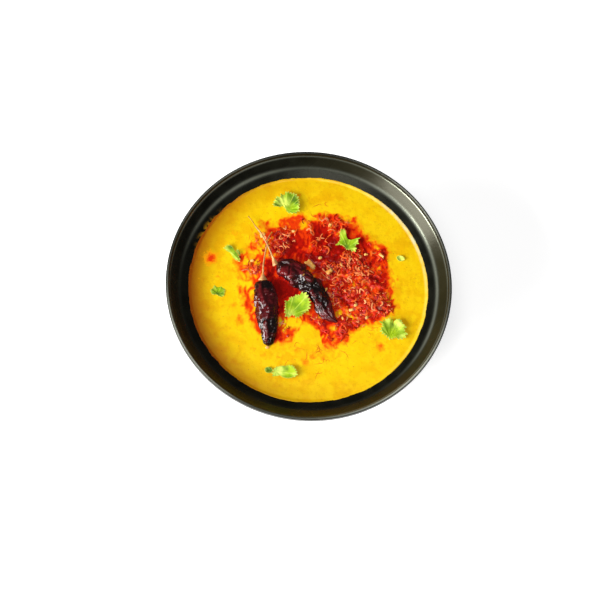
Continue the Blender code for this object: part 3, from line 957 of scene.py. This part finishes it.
# %% Scatter the slivers
DRIFTS = (  # x, y, radius and number of slivers
    (27.0, 20.0, 7.5, 80), (33.0, 14.0, 5.0, 30), (46.0, -6.0, 6.5, 84), (20.0, -4.0, 7.0, 56),
    (34.0, -4.0, 6.0, 20), (13.0, 46.0, 6.0, 34), (46.0, 28.0, 3.0, 16), (-19.0, 31.0, 6.0, 34),
    (-36.0, 8.0, 4.0, 20), (28.0, -24.0, 6.5, 44), (12.0, 12.0, 5.0, 26), (5.0, 29.0, 5.0, 18),
    (-25.0, 20.0, 5.0, 10), (7.0, -23.0, 4.0, 22), (-34.0, 26.0, 5.0, 12), (42.0, 12.0, 8.0, 10),
    (15.0, -33.0, 4.0, 6), (-12.0, -31.0, 5.0, 6), (-4.0, 44.0, 6.0, 8), (38.0, 30.0, 5.0, 6),
    (38.0, -15.0, 6.0, 26), (24.0, 8.0, 8.0, 30), (52.0, -12.0, 4.0, 16), (2.0, 40.0, 7.0, 10),
)


def somewhere(draw, x, y, radius):
    """A random place in a circle, as likely in one spot as in another."""
    turn, reach = draw.uniform(0, 2 * math.pi), radius * math.sqrt(draw.random())
    return x + reach * math.cos(turn), y + reach * math.sin(turn)


def scatter(draw, drifts, margin):
    """Places in the patch, thick where the drifts are."""
    for cx, cy, radius, number in drifts:
        for _ in range(number):
            x, y = somewhere(draw, cx, cy, 1.25 * radius)
            if inside_patch(x, y) > margin:
                yield x, y


def spun(x, y, z, turn):
    """A matrix that turns a copy round its own upright axis and moves it to x, y, z."""
    return Matrix.Translation((x, y, z)) @ Matrix.Rotation(turn, 4, "Z")


def lying(draw, x, y, lift, size, tilt=0.35):
    """A matrix that lays a small piece down at x, y, turned at random."""
    wide, deep = size * draw.uniform(0.75, 1.3), size * draw.uniform(0.8, 1.2)
    lean = Matrix.Rotation(draw.uniform(-tilt, tilt), 4, "X")
    lean = lean @ Matrix.Rotation(draw.uniform(-tilt, tilt), 4, "Y")
    place = spun(x, y, ground_at(x, y) + lift, draw.uniform(0, 2 * math.pi))
    return place @ lean @ Matrix.Diagonal((wide, deep, size, 1.0))


def build_slivers():
    draw = random.Random(11)
    places = []
    for x, y in scatter(draw, DRIFTS, 1.2):
        size = draw.uniform(0.55, 1.2)
        places.append((draw.randrange(len(SLIVERS)), lying(draw, x, y, 0.02, size), draw.random()))
    shape = joined_copies(SLIVERS, places)
    print(len(places), "slivers")
    return finish_piece("fried_slivers", shape, fried_sliver(), smooth_angle=70)


build_slivers()

# %% [markdown]
# ## Dried chillies
# Each chilli was dried, then fried whole. Its skin has shrunk on to the seeds, so it is
# folded lengthwise, puckered across, and flattened. The body is a ring of points extruded
# along a bent middle line, and the folds are worked out from the angle round the ring and
# the distance along it. The stem and its cap are a second tube, because they are dry and tan
# while the body is dark and oily.

# %% The plans of the two chillies
AXIS_HEIGHT = DAL_LEVEL + 0.6
CHILLIES = {
    # each point is x, y, height over the axis height and, for a body, its share of the width;
    # "faint" is where the stem's dipped tip ends, and "char" lists a burnt place and its spread
    "chilli_left": {
        "stem": ((-28.0, 33.0, 0.9), (-30.0, 28.0, 1.1), (-30.2, 22.0, 1.2),
                 (-30.4, 10.2, 1.8), (-29.9, 4.8, 1.4), (-29.2, -0.6, 0.6)),
        "body": ((-29.0, -1.2, 0.2, 0.45), (-28.8, -2.2, 0.1, 0.68), (-27.7, -7.3, 0.0, 0.87),
                 (-25.3, -15.7, 0.0, 1.0), (-22.9, -26.2, 0.0, 0.88), (-21.3, -34.0, -0.2, 0.68),
                 (-20.5, -41.0, -0.6, 0.44), (-20.4, -43.0, -0.7, 0.12)),
        "half_width": 7.7, "flatness": 0.72, "cap": 2.3, "faint": 0.20, "seed": 3.0,
        "pucker": 0.045, "fold": 0.09, "char": ((0.04, 0.14), (0.72, 0.13), (0.98, 0.12)),
    },
    "chilli_right": {
        "stem": ((-44.6, 41.6, 1.2), (-41.6, 38.6, 1.6), (-39.0, 35.0, 2.0), (-34.8, 30.6, 2.5),
                 (-29.6, 23.0, 3.0), (-25.8, 16.5, 2.2), (-22.4, 10.6, 1.0)),
        "body": ((-21.9, 10.3, 0.4, 0.34), (-20.4, 10.2, 0.2, 0.72), (-17.2, 9.6, 0.1, 0.95),
                 (-12.0, 7.6, 0.0, 1.06), (-6.6, 4.8, 0.0, 1.04), (-0.4, 1.2, 0.0, 0.96),
                 (4.6, -3.6, 0.0, 0.80), (8.9, -9.9, -0.2, 0.77), (12.5, -15.6, -0.1, 0.66),
                 (16.4, -19.4, 0.2, 0.42), (20.6, -22.0, 0.6, 0.08)),
        "half_width": 7.3, "flatness": 0.74, "cap": 1.3, "faint": 0.42, "seed": 17.0,
        "pucker": 0.035, "fold": 0.13, "char": ((0.42, 0.14), (0.60, 0.12)),
    },
}


def shrivel(angle, along, share, plan):
    """How far the skin is drawn in or pushed out, as a share of the radius."""
    seed = plan["seed"]
    drift = 1.8 * noise.noise(Vector((along / 14.0, seed, 0.0)))
    folds = plan["fold"] * math.cos(3 * angle + 2.2 * drift + seed)
    folds += 0.5 * plan["fold"] * math.cos(5 * angle - 3.0 * drift)
    folds += 0.35 * plan["fold"] * math.cos(9 * angle + 4.0 * drift)
    ring = Vector((math.cos(angle) * 1.4, math.sin(angle) * 1.4, along / 8.0 + seed))
    creases = -0.17 * (1.0 - min(1.0, 5.5 * abs(noise.noise(ring)))) ** 1.4
    fine = Vector((math.cos(angle) * 3.4, math.sin(angle) * 3.4, along / 3.6 + seed))
    creases -= 0.075 * (1.0 - min(1.0, 4.0 * abs(noise.noise(fine)))) ** 1.3
    across = math.sin(2 * math.pi * along / 2.1 + 2.0 * math.sin(angle) + 4.0 * drift)
    spot = Vector((math.cos(angle) * 0.8, math.sin(angle) * 0.8, along / 9.0 + 2 * seed))
    where = smooth_step(-0.20, 0.30, noise.noise(spot))
    ends = smooth_step(0.0, 0.08, share) * smooth_step(1.0, 0.93, share)
    return ends * (folds + creases + plan["pucker"] * across * where)


# %% The chilli's skin
def chilli_skin():
    material, tree, shader = new_finish("chilli_skin", roughness=0.2, coat=0.25,
                                        coat_roughness=0.08, specular=0.45)
    tone = mottle(tree, 150.0, (0.014, 0.0012, 0.0018), (0.110, 0.0045, 0.0070))
    burnt = maths(tree, "ADD", attribute(tree, "char"),
                  maths(tree, "SUBTRACT", noise_at(tree, 160.0, 3.0), 0.5))
    char = steps_between(tree, burnt, 0.30, 0.62, 0.0, 0.95)
    tone = blend_colours(tree, char, tone, (0.006, 0.0022, 0.0022))
    # Painted light: the raised folds are a lighter red, so the creases read as painted shade.
    painted_fold_light = steps_between(tree, attribute(tree, "ridge"), 0.4, 1.0, 0.0, 0.40)
    tone = blend_colours(tree, painted_fold_light, tone, (0.24, 0.010, 0.012))
    tree.links.new(steps_between(tree, noise_at(tree, 300.0), 0.3, 0.7, 0.14, 0.34),
                   shader.inputs["Roughness"])
    return dressed(material, tone, 1800.0, 500.0, 0.22, 0.0005)


def build_chilli_body(name, plan, skin):
    stations = []
    travelled = [0.0]
    line = through(plan["body"], 16)
    for before, here in zip(line, line[1:]):
        travelled.append(travelled[-1] + (here.xyz - before.xyz).length)
    for x, y, lift, fullness in line:
        width = plan["half_width"] * max(0.02, fullness)
        stations.append((Vector((x, y, AXIS_HEIGHT + lift)), width, width * plan["flatness"]))
    shape, rings = tube(stations, 72, ("ridge", "char"))
    ridge, char = (shape.verts.layers.float[key] for key in ("ridge", "char"))
    for (middle, _, _), ring, along in zip(stations, rings, travelled):
        for vert, angle in ring:
            share = along / travelled[-1]
            change = shrivel(angle, along, share, plan)
            vert.co = middle + (vert.co - middle) * (1.0 + change)
            # How far the skin is pushed out, which the finish paints as light on the folds.
            vert[ridge] = min(1.0, max(0.0, 0.5 + 4.0 * change))
            vert[char] = max(math.exp(-((share - burn) / width) ** 2)
                             for burn, width in plan["char"])
    bmesh.ops.recalc_face_normals(shape, faces=shape.faces)
    return finish_piece(name + "_body", shape, skin, [name], 180)


# %% The stem and cap
def dry_stem():
    material, tree, _ = new_finish("dry_stem", roughness=0.5, coat=0.15, coat_roughness=0.3)
    tone = mottle(tree, 380.0, (0.46, 0.19, 0.055), (0.76, 0.42, 0.15))
    tone = blotches(tree, tone, (0.40, 0.13, 0.03), 900.0, 2.0, 0.50, 0.68, 0.55)
    dipped = steps_between(tree, attribute(tree, "tip"), 0.0, 1.0)
    tone = blend_colours(tree, dipped, tone, (0.52, 0.230, 0.006))
    return dressed(material, tone, 2400.0, 700.0, 0.4, 0.0004)


def build_stem(name, plan, material):
    stations = []
    line = through(plan["stem"], 8)
    last = len(line) - 1
    for index, point in enumerate(line):
        share = index / last
        flare = smooth_step(0.80, 1.0, share) ** 1.3
        knob = 0.35 * math.exp(-(share / 0.03) ** 2)
        radius = 0.26 + 0.26 * smooth_step(0.0, 0.5, share) + knob + plan["cap"] * flare
        radius *= 1.0 + 0.08 * noise.noise(Vector((index * 0.7, plan["seed"], 0.0)))
        stations.append((Vector((point.x, point.y, AXIS_HEIGHT + point.z)), radius, radius * 0.92))
    shape, rings = tube(stations, 20, ("tip",))
    tip = shape.verts.layers.float["tip"]
    for index, ((middle, _, _), ring) in enumerate(zip(stations, rings)):
        ribs = 0.10 * smooth_step(0.78, 0.95, index / last)
        for vert, angle in ring:
            vert[tip] = smooth_step(plan["faint"], plan["faint"] - 0.16, index / last)
            ribbed = 1.0 + ribs * math.cos(5 * angle) + 0.05 * math.cos(3 * angle)
            vert.co = middle + (vert.co - middle) * ribbed
    bmesh.ops.recalc_face_normals(shape, faces=shape.faces)
    return finish_piece(name + "_stem", shape, material, smooth_angle=180)


SKIN, STEM = chilli_skin(), dry_stem()
for chilli_name, chilli_plan in CHILLIES.items():
    build_chilli_body(chilli_name, chilli_plan, SKIN)
    build_stem(chilli_name, chilli_plan, STEM)

# %% [markdown]
# ## Coriander leaves
# A coriander leaflet is a fan: its veins spread from the stalk, the edge is toothed, and
# clefts part it into lobes. The pieces here were torn and tossed on, so each has its own
# outline, given by a few points round it. A flat net is pulled out to that outline and small
# teeth are cut from it. Veins are fine ridges that spread from the stalk's end. A solidify
# step then gives the blade its thickness.

# %% Plans for the leaves
LEAVES = {
    # "pale" lists painted highlights; the list after it gives painted shade in folds and on shaded
    # lobes, with some darker green spots. Each holds x, y, radius and strength; "rise" is the slope
    # in x and in y
    "leaf_back": dict(
        outline=((-30.0, 50.6), (-29.8, 55.0), (-28.2, 58.8), (-26.2, 58.2), (-25.8, 61.0),
                 (-23.6, 60.6), (-22.6, 63.0), (-19.5, 62.6), (-16.0, 61.8), (-13.9, 59.6),
                 (-13.0, 56.0), (-12.6, 52.5), (-12.4, 50.0), (-14.0, 48.4), (-17.0, 48.0),
                 (-20.0, 48.8), (-21.8, 51.0), (-24.0, 52.6), (-26.0, 51.2), (-28.0, 51.4)),
        stalk=(-20.8, 50.4), veins=15, lift=0.9, rise=(0.02, 0.10), curl=1.1, wave=1.0,
        pale=((-25.0, 56.0, 3.2, 1.0), (-21.5, 54.8, 2.2, 0.9)),
        shade_and_dark_spots=((-17.5, 58.5, 3.4, 1.0), (-14.8, 56.2, 1.8, 0.9), (-28.0, 52.6, 1.6, 0.8))),
    "leaf_upper_right": dict(
        outline=((16.4, 41.8), (18.6, 41.2), (19.4, 38.8), (20.6, 36.2), (22.2, 35.0), (24.8, 35.6),
                 (28.8, 37.2), (27.9, 34.8), (28.5, 33.0), (26.6, 31.4), (27.7, 28.6), (26.0, 26.8),
                 (23.4, 28.0), (21.0, 28.2), (19.0, 29.8), (16.6, 30.6), (13.8, 30.0), (15.2, 32.6),
                 (15.9, 34.8), (15.2, 37.4), (15.2, 40.2)),
        stalk=(21.5, 29.6), veins=9, lift=1.2, rise=(0.05, 0.08), curl=0.9, wave=0.7,
        pale=((18.8, 39.8, 1.4, 0.6), (26.0, 28.6, 1.6, 0.8), (27.6, 35.0, 1.2, 0.6)),
        shade_and_dark_spots=((20.6, 33.8, 1.8, 0.6), (21.0, 30.0, 1.6, 0.9), (18.0, 33.0, 1.6, 0.4))),
    "leaf_centre": dict(
        outline=((-13.6, -12.4), (-11.8, -12.2), (-11.0, -9.8), (-8.6, -9.2), (-7.0, -7.6),
                 (-5.2, -7.4), (-3.6, -5.8), (-0.6, -6.0), (0.9, -8.4), (2.2, -10.8),
                 (2.9, -14.2), (2.2, -17.0), (-0.4, -19.0), (-2.4, -21.6), (-5.0, -23.4),
                 (-7.0, -21.8), (-9.0, -22.2), (-10.8, -24.0), (-12.6, -22.0), (-13.2, -18.4),
                 (-13.4, -15.0)),
        stalk=(-10.4, -22.4), veins=13, lift=1.8, rise=(0.04, 0.06), curl=1.2, wave=0.6,
        pale=((-9.0, -20.5, 2.6, 0.9), (-0.5, -8.0, 2.0, 0.7), (1.6, -15.0, 1.6, 0.6)),
        shade_and_dark_spots=((-6.0, -14.5, 3.5, 0.35), (-3.0, -17.5, 2.0, 0.3))),
    "leaf_right": dict(
        outline=((47.0, -18.0), (49.2, -17.2), (51.0, -15.4), (53.0, -15.0), (54.8, -13.2),
                 (55.2, -16.5), (55.5, -18.8), (56.4, -16.0), (58.6, -14.6), (61.0, -15.2),
                 (62.2, -17.6), (64.5, -18.8), (63.6, -21.2), (65.5, -23.8), (64.2, -26.6),
                 (61.0, -28.0), (58.0, -27.4), (55.0, -28.8), (51.6, -26.8), (49.0, -25.4),
                 (48.0, -23.2), (48.8, -20.4)),
        stalk=(54.5, -27.6), veins=15, lift=1.1, rise=(-0.03, 0.10), curl=1.3, wave=0.9,
        pale=((59.5, -17.5, 3.0, 0.9), (52.5, -17.5, 2.4, 0.5), (62.0, -26.0, 2.0, 0.8)),
        shade_and_dark_spots=((55.4, -19.4, 1.5, 0.7), (63.4, -23.4, 1.2, 0.7), (51.0, -24.0, 2.4, 0.4))),
    "leaf_front": dict(
        outline=((-15.6, -61.4), (-15.0, -58.4), (-13.8, -56.4), (-11.0, -55.2), (-8.0, -54.8),
                 (-5.6, -54.0), (-3.0, -54.4), (-0.6, -57.0), (0.2, -60.2), (-2.0, -61.6),
                 (-5.0, -62.6), (-8.4, -62.4), (-10.6, -61.4), (-14.0, -62.6)),
        stalk=(-14.0, -59.0), veins=9, lift=1.0, rise=(0.03, 0.05), curl=1.0, wave=0.6,
        pale=((-11.6, -58.4, 3.2, 1.3), (-1.6, -59.6, 1.4, 0.7)),
        shade_and_dark_spots=((-6.8, -56.6, 1.3, 0.8), (-7.6, -61.6, 1.2, 0.5))),
    "leaf_left": dict(
        outline=((-57.2, 17.8), (-55.2, 20.2), (-52.2, 19.8), (-50.0, 17.4), (-47.6, 15.0),
                 (-46.0, 12.6), (-45.2, 10.2), (-48.0, 10.4), (-50.2, 12.2), (-52.0, 14.4),
                 (-54.2, 16.2), (-56.4, 16.4)),
        stalk=(-46.0, 11.0), veins=5, lift=0.9, rise=(-0.02, 0.04), curl=0.8, wave=0.5,
        pale=((-55.6, 17.0, 1.5, 0.8), (-48.0, 11.4, 1.6, 0.9), (-51.4, 14.8, 1.2, 0.6)),
        shade_and_dark_spots=((-53.0, 19.2, 1.8, 0.9), (-48.6, 15.6, 1.4, 0.6))),
    "leaf_lower_left": dict(
        outline=((-58.0, -6.4), (-55.0, -6.0), (-53.0, -8.0), (-52.0, -11.0), (-52.4, -14.4),
                 (-54.8, -15.2), (-57.0, -14.2), (-59.6, -14.6), (-61.4, -12.0), (-60.2, -10.0),
                 (-59.6, -8.0)),
        stalk=(-56.0, -13.6), veins=9, lift=0.35, rise=(0.0, -0.05), curl=0.1, wave=0.9,
        pale=((-59.6, -9.0, 1.6, 0.5), (-52.8, -9.0, 1.4, 0.5)),
        shade_and_dark_spots=((-56.4, -13.4, 1.8, 0.8), (-54.0, -12.8, 1.4, 0.5), (-57.6, -8.6, 1.4, 0.4))),
}


def centre_of(points):
    return sum((Vector(point) for point in points), Vector((0.0, 0.0))) / len(points)


# %% The leaf's finish
def coriander_leaf():
    material, tree, _ = new_finish("coriander_leaf", roughness=0.42, specular=0.25)
    tone = mottle(tree, 210.0, (0.24, 0.44, 0.004), (0.42, 0.62, 0.008))
    tone = blotches(tree, tone, (0.10, 0.24, 0.007), 520.0, 2.0, 0.56, 0.70, 0.5)
    # Painted shade in folds and on shaded lobes, with some darker green spots of the leaf itself.
    tone = stained(tree, tone, (("shade_and_dark_spots", (0.085, 0.19, 0.006)),))
    # Painted highlights: a pale yellow-green where the light would glint on the blade.
    pale = maths(tree, "MULTIPLY", attribute(tree, "pale"),
                 steps_between(tree, noise_at(tree, 420.0, 3.0), 0.30, 0.60, 0.55, 1.0))
    tone = blend_colours(tree, pale, tone, (0.80, 0.92, 0.15))
    for key, low, colour in (("vein", 0.25, (0.66, 0.82, 0.09)),
                             ("edge", 0.84, (0.74, 0.78, 0.14))):
        share = steps_between(tree, attribute(tree, key), low, 1.0, 0.0, 0.6)
        tone = blend_colours(tree, share, tone, colour)
    return dressed(material, tone, 2600.0, 900.0, 0.25, 0.0004)


LEAF_VALUES = ("vein", "edge", "pale", "shade_and_dark_spots")


def leaf_shape(plan):
    middle, stalk = centre_of(plan["outline"]), Vector(plan["stalk"])
    reaches = reach_table(plan["outline"], middle, 360)
    size = max(reaches)
    shape = disc(plan.get("rings", 20), 180)
    vein, rim, pale, shade_and_dark_spots = point_values(shape, *LEAF_VALUES)
    for vert in shape.verts:
        turn, share = math.atan2(vert.co.y, vert.co.x), math.hypot(vert.co.x, vert.co.y)
        edge = reaches[int((turn + math.pi) / (2 * math.pi) * 360 + 0.5) % 360]
        tooth = abs(((turn * plan.get("teeth", 27) / (2 * math.pi) + middle.x) % 1.0) - 0.5) * 2
        reach = edge * share * (1.03 - 0.20 * tooth ** 1.4 * share ** 3)
        x, y = middle.x + reach * math.cos(turn), middle.y + reach * math.sin(turn)
        way = Vector((x, y)) - stalk
        spread = math.atan2(way.y, way.x) * plan["veins"] / 2.0
        ridge = max(0.0, math.cos(2.0 * spread)) ** 7 * smooth_step(0.0, 0.3 * size, way.length)
        height = plan["lift"] + plan["curl"] * (reach / size) ** 2
        height += plan["rise"][0] * (x - middle.x) + plan["rise"][1] * (y - middle.y)
        height += 1.4 * plan["wave"] * share * wobble(x, y, 5.0, middle.x) + 0.10 * ridge
        height += 0.16 * plan["wave"] * math.cos(2.0 * spread) * share
        vert[vein], vert[rim] = ridge, share
        # Places of painted highlight and painted shade, from the plan's lists.
        vert[pale] = min(1.0, spots(plan["pale"], x, y))
        vert[shade_and_dark_spots] = min(1.0, spots(plan["shade_and_dark_spots"], x, y))
        vert.co = (x, y, DAL_LEVEL + height)
    face_up(shape)
    bmesh.ops.solidify(shape, geom=shape.faces[:], thickness=0.28)
    bmesh.ops.recalc_face_normals(shape, faces=shape.faces)
    return shape


LEAF = coriander_leaf()
for leaf_name, leaf_plan in LEAVES.items():
    finish_piece(leaf_name + "_blade", leaf_shape(leaf_plan), LEAF, [leaf_name], 75)


# %% Torn scraps of leaf
SCRAPS = (
    dict(rings=6, outline=((53.6, 27.4), (55.4, 28.8), (57.6, 28.6), (59.0, 27.4), (58.4, 25.8),
                           (56.4, 25.2), (54.6, 25.8)),
         stalk=(54.0, 27.0), veins=5, lift=0.5, rise=(0.02, 0.03), curl=0.5, wave=0.6,
         pale=((57.2, 27.4, 2.6, 1.6),), shade_and_dark_spots=((55.4, 25.6, 0.8, 0.6),)),
    dict(rings=6, outline=((-20.4, -58.6), (-18.8, -56.8), (-16.6, -57.0), (-15.2, -58.6),
                           (-16.4, -60.4), (-19.0, -60.6)),
         stalk=(-16.0, -58.8), veins=5, lift=0.5, rise=(0.0, 0.02), curl=0.3, wave=0.6,
         pale=((-20.0, -59.2, 0.8, 0.8),), shade_and_dark_spots=((-17.4, -58.6, 2.4, 1.3),)),
    dict(rings=6, outline=((-49.0, 17.4), (-47.6, 18.0), (-46.2, 16.0), (-46.0, 14.0),
                           (-47.2, 15.4)),
         stalk=(-46.2, 14.4), veins=3, lift=0.9, rise=(0.0, 0.0), curl=0.2, wave=0.4,
         pale=(), shade_and_dark_spots=((-47.0, 16.4, 2.0, 1.4),)),
)


def build_scraps():
    whole = bmesh.new()
    point_values(whole, *LEAF_VALUES)
    for number, plan in enumerate(SCRAPS):
        whole.from_mesh(template(leaf_shape(plan), f"scrap_{number}"))
    return finish_piece("leaf_scraps", whole, LEAF, smooth_angle=75)


build_scraps()

# %% [markdown]
# ## Flakes and crumbs
# Between the slivers lie torn flakes of fried chilli skin and dark crumbs of spice. A flake is
# a small bent grid with a little thickness, and a crumb is a lump with few faces. A handful of
# each is modelled, and many copies are joined, as for the slivers.

# %% Flakes of chilli skin
def flake(seed):
    draw = random.Random(seed)
    shape = bmesh.new()
    bmesh.ops.create_grid(shape, x_segments=3, y_segments=2, size=1.0)
    for vert in shape.verts:
        x, y = vert.co.x * 1.4, vert.co.y * draw.uniform(0.6, 1.0)
        vert.co = (x + draw.uniform(-0.2, 0.2), y,
                   0.35 * math.cos(1.6 * x) + draw.uniform(-0.15, 0.15))
    bmesh.ops.solidify(shape, geom=shape.faces[:], thickness=0.16)
    return template(shape, f"flake_{seed}")


FLAKES = [flake(seed) for seed in (21, 22, 23, 24)]


def flake_finish():
    material, tree, _ = new_finish("chilli_flake", roughness=0.26, specular=0.20)
    tint = attribute(tree, "tint")
    tone = blend_colours(tree, tint, (0.30, 0.0040, 0.0020), (0.74, 0.026, 0.0030))
    tone = blotches(tree, tone, (0.82, 0.090, 0.0090), 700.0, 3.0, 0.50, 0.70, 0.6)
    return dressed(material, tone, 2600.0, 900.0, 0.3, 0.0003)


def strewn(draw, kinds, spread, margin, lift, sizes, tilt=0.35):
    """A fifth as many copies as slivers: each one's kind, place and tint."""
    drifts = [(x, y, spread * radius, number // 5) for x, y, radius, number in DRIFTS]
    return [(draw.randrange(kinds), lying(draw, x, y, lift, draw.uniform(*sizes), tilt),
             draw.random()) for x, y in scatter(draw, drifts, margin)]


def build_flakes():
    places = strewn(random.Random(31), len(FLAKES), 1.0, 1.5, 0.05, (0.6, 1.3), 0.5)
    print(len(places), "flakes")
    return finish_piece("chilli_flakes", joined_copies(FLAKES, places), flake_finish(),
                        smooth_angle=50)


build_flakes()


# %% Crumbs of spice
def crumb(seed):
    draw = random.Random(seed)
    shape = bmesh.new()
    bmesh.ops.create_icosphere(shape, subdivisions=1, radius=0.5)
    for vert in shape.verts:
        vert.co = vert.co * draw.uniform(0.7, 1.25)
    return template(shape, f"crumb_{seed}")


CRUMBS = [crumb(seed) for seed in (41, 42, 43)]
LOOSE_CRUMBS = 90


def crumb_finish():
    material, tree, shader = new_finish("spice_crumb", roughness=0.35, specular=0.3)
    tone = tinted(tree, (0.10, 0.010, 0.0025), ((0.15, 0.35, (0.62, 0.030, 0.0030)),
                                                (0.60, 0.90, (0.92, 0.26, 0.025))))
    shade = mottle(tree, 900.0, tone, (0.20, 0.020, 0.0040))
    tree.links.new(blend_colours(tree, 0.5, tone, shade), shader.inputs["Base Color"])
    return material


def build_crumbs():
    draw = random.Random(51)
    places = strewn(draw, len(CRUMBS), 1.2, 0.0, 0.04, (0.35, 0.9))
    for _ in range(LOOSE_CRUMBS):
        x, y = somewhere(draw, 0.0, 0.0, 70.0)
        place = draw.randrange(len(CRUMBS)), lying(draw, x, y, -0.02, draw.uniform(0.25, 0.5))
        places.append((*place, draw.random() * 0.5))
    print(len(places), "crumbs")
    return finish_piece("spice_crumbs", joined_copies(CRUMBS, places), crumb_finish(),
                        smooth_angle=180)


build_crumbs()

# %% [markdown]
# ## Garlic chips, seeds and loose strands
# A few pale bits stand out of the red: thick chips of fried garlic, some flat chilli seeds,
# and long thin strands that floated off below the patch. A chip starts as a cube that is cut
# finer, smoothed and pushed about. A seed is a flattened ball. A strand is a thin tube.

# %% Garlic chips
CHIPS = (  # middle x and y, length, width, height, heading, lift
    (-0.4, 14.4, 6.6, 3.0, 2.0, -35.0, 0.5), (11.6, 11.2, 4.4, 2.6, 1.8, 40.0, 0.6),
    (11.0, -1.4, 3.6, 1.5, 1.4, 60.0, 0.5), (43.9, 27.2, 3.6, 1.5, 1.3, -40.0, 0.6),
    (8.6, 43.6, 2.6, 1.5, 1.2, 70.0, 0.5), (28.6, -12.5, 2.6, 1.6, 1.3, 15.0, 0.5),
    (-34.0, 31.0, 3.2, 2.4, 0.9, 50.0, 0.2), (24.0, -18.5, 2.2, 1.3, 1.0, 110.0, 0.5),
    (-26.6, -25.6, 2.2, 1.6, 1.0, 20.0, 0.2), (34.0, 26.6, 2.2, 1.2, 1.0, 10.0, 0.5),
)


def build_chips():
    draw = random.Random(61)
    blocks = []
    for number, (_, _, length, width, height, _, _) in enumerate(CHIPS):
        shape = bmesh.new()
        bmesh.ops.create_cube(shape, size=1.0)
        bmesh.ops.subdivide_edges(shape, edges=shape.edges[:], cuts=3, use_grid_fill=True)
        for _ in range(2):
            bmesh.ops.smooth_vert(shape, verts=shape.verts, factor=0.5,
                                  use_axis_x=True, use_axis_y=True, use_axis_z=True)
        for vert in shape.verts:
            push = 1.0 + 0.5 * noise.noise(vert.co * 2.2 + Vector((number * 5.0, 0.0, 0.0)))
            narrow = 1.0 - 0.35 * vert.co.x
            x, y, z = vert.co
            vert.co = (x * length * push, y * width * push * narrow, z * height * push)
        blocks.append(template(shape, f"chip_{number}"))
    places = []
    for number, (x, y, _, _, _, heading, lift) in enumerate(CHIPS):
        place = spun(x, y, ground_at(x, y) + lift, math.radians(heading))
        place = place @ Matrix.Rotation(draw.uniform(-0.2, 0.2), 4, "X")
        places.append((number, place, draw.random()))
    material, tree, _ = new_finish("fried_garlic", roughness=0.3, coat=0.15)
    tone = mottle(tree, 260.0, (0.98, 0.36, 0.050), (1.0, 0.62, 0.170))
    tone = blotches(tree, tone, (0.90, 0.26, 0.030), 620.0, 2.0, 0.56, 0.70, 0.6)
    dressed(material, tone, 2000.0, 700.0, 0.3, 0.0004)
    return finish_piece("garlic_chips", joined_copies(blocks, places), material)


build_chips()

# %% Chilli seeds
SEEDS = (  # x, y, heading and height over what lies there; one sits on the right chilli
    (-20.6, -44.2, 20.0, 0.35), (-4.4, 5.4, 80.0, 6.4), (31.0, -9.0, 40.0, 0.35),
    (-14.5, 36.0, 10.0, 0.35), (19.0, 17.5, 130.0, 0.35), (39.0, -16.0, 70.0, 0.35),
    (5.0, 20.0, 30.0, 0.35), (-38.0, 12.0, 0.0, 0.35),
)


def build_seeds():
    shape = bmesh.new()
    bmesh.ops.create_uvsphere(shape, u_segments=12, v_segments=7, radius=1.0)
    bmesh.ops.scale(shape, vec=(1.35, 1.0, 0.32), verts=shape.verts)
    seed = template(shape, "seed")
    places = []
    for x, y, heading, lift in SEEDS:
        place = spun(x, y, max(ground_at(x, y), DAL_LEVEL) + lift, math.radians(heading))
        places.append((0, place @ Matrix.Rotation(0.25, 4, "X"), 0.5))
    material, tree, _ = new_finish("chilli_seed", roughness=0.35, coat=0.15)
    tone = mottle(tree, 500.0, (0.80, 0.36, 0.06), (0.92, 0.62, 0.20))
    dressed(material, tone, 2600.0, 1200.0, 0.2, 0.0003)
    return finish_piece("chilli_seeds", joined_copies([seed], places), material)


build_seeds()


# %% Loose strands
STRANDS = (  # x, y, radius and number of strands
    (12.0, -46.0, 11.0, 18), (-10.0, -45.0, 8.0, 5), (26.0, -38.0, 7.0, 5),
    (-36.0, 28.0, 8.0, 12), (44.0, -26.0, 6.0, 6), (2.0, 50.0, 10.0, 6),
)


def strand(draw, number):
    stations, turn, place = [], 0.0, Vector((0.0, 0.0, 0.0))
    bend = draw.uniform(-0.5, 0.5)
    for step in range(9):
        thick = 0.22 * math.sin(math.pi * (0.1 + 0.8 * step / 8)) + 0.05
        stations.append((place.copy(), thick, 0.10))
        turn += bend + draw.uniform(-0.35, 0.35)
        place += Vector((math.cos(turn), math.sin(turn), 0.0)) * 0.85
    return template(tube(stations, 4)[0], f"strand_{number}")


def build_strands():
    draw = random.Random(71)
    strands = [strand(draw, number) for number in range(6)]
    places = []
    for cx, cy, radius, number in STRANDS:
        for _ in range(number):
            x, y = somewhere(draw, cx, cy, radius)
            place = spun(x, y, ground_at(x, y) - 0.02, draw.uniform(0, 2 * math.pi))
            place = place @ Matrix.Scale(draw.uniform(0.6, 1.1), 4)
            places.append((draw.randrange(6), place, draw.random()))
    material, tree, shader = new_finish("loose_strand", roughness=0.5, specular=0.15)
    tint = attribute(tree, "tint")
    tone = blend_colours(tree, tint, (0.74, 0.130, 0.0030), (0.90, 0.300, 0.0060))
    tone = blotches(tree, tone, (0.66, 0.090, 0.0030), 600.0, 2.0, 0.45, 0.65, 0.6)
    tree.links.new(tone, shader.inputs["Base Color"])
    return finish_piece("loose_strands", joined_copies(strands, places), material)


build_strands()
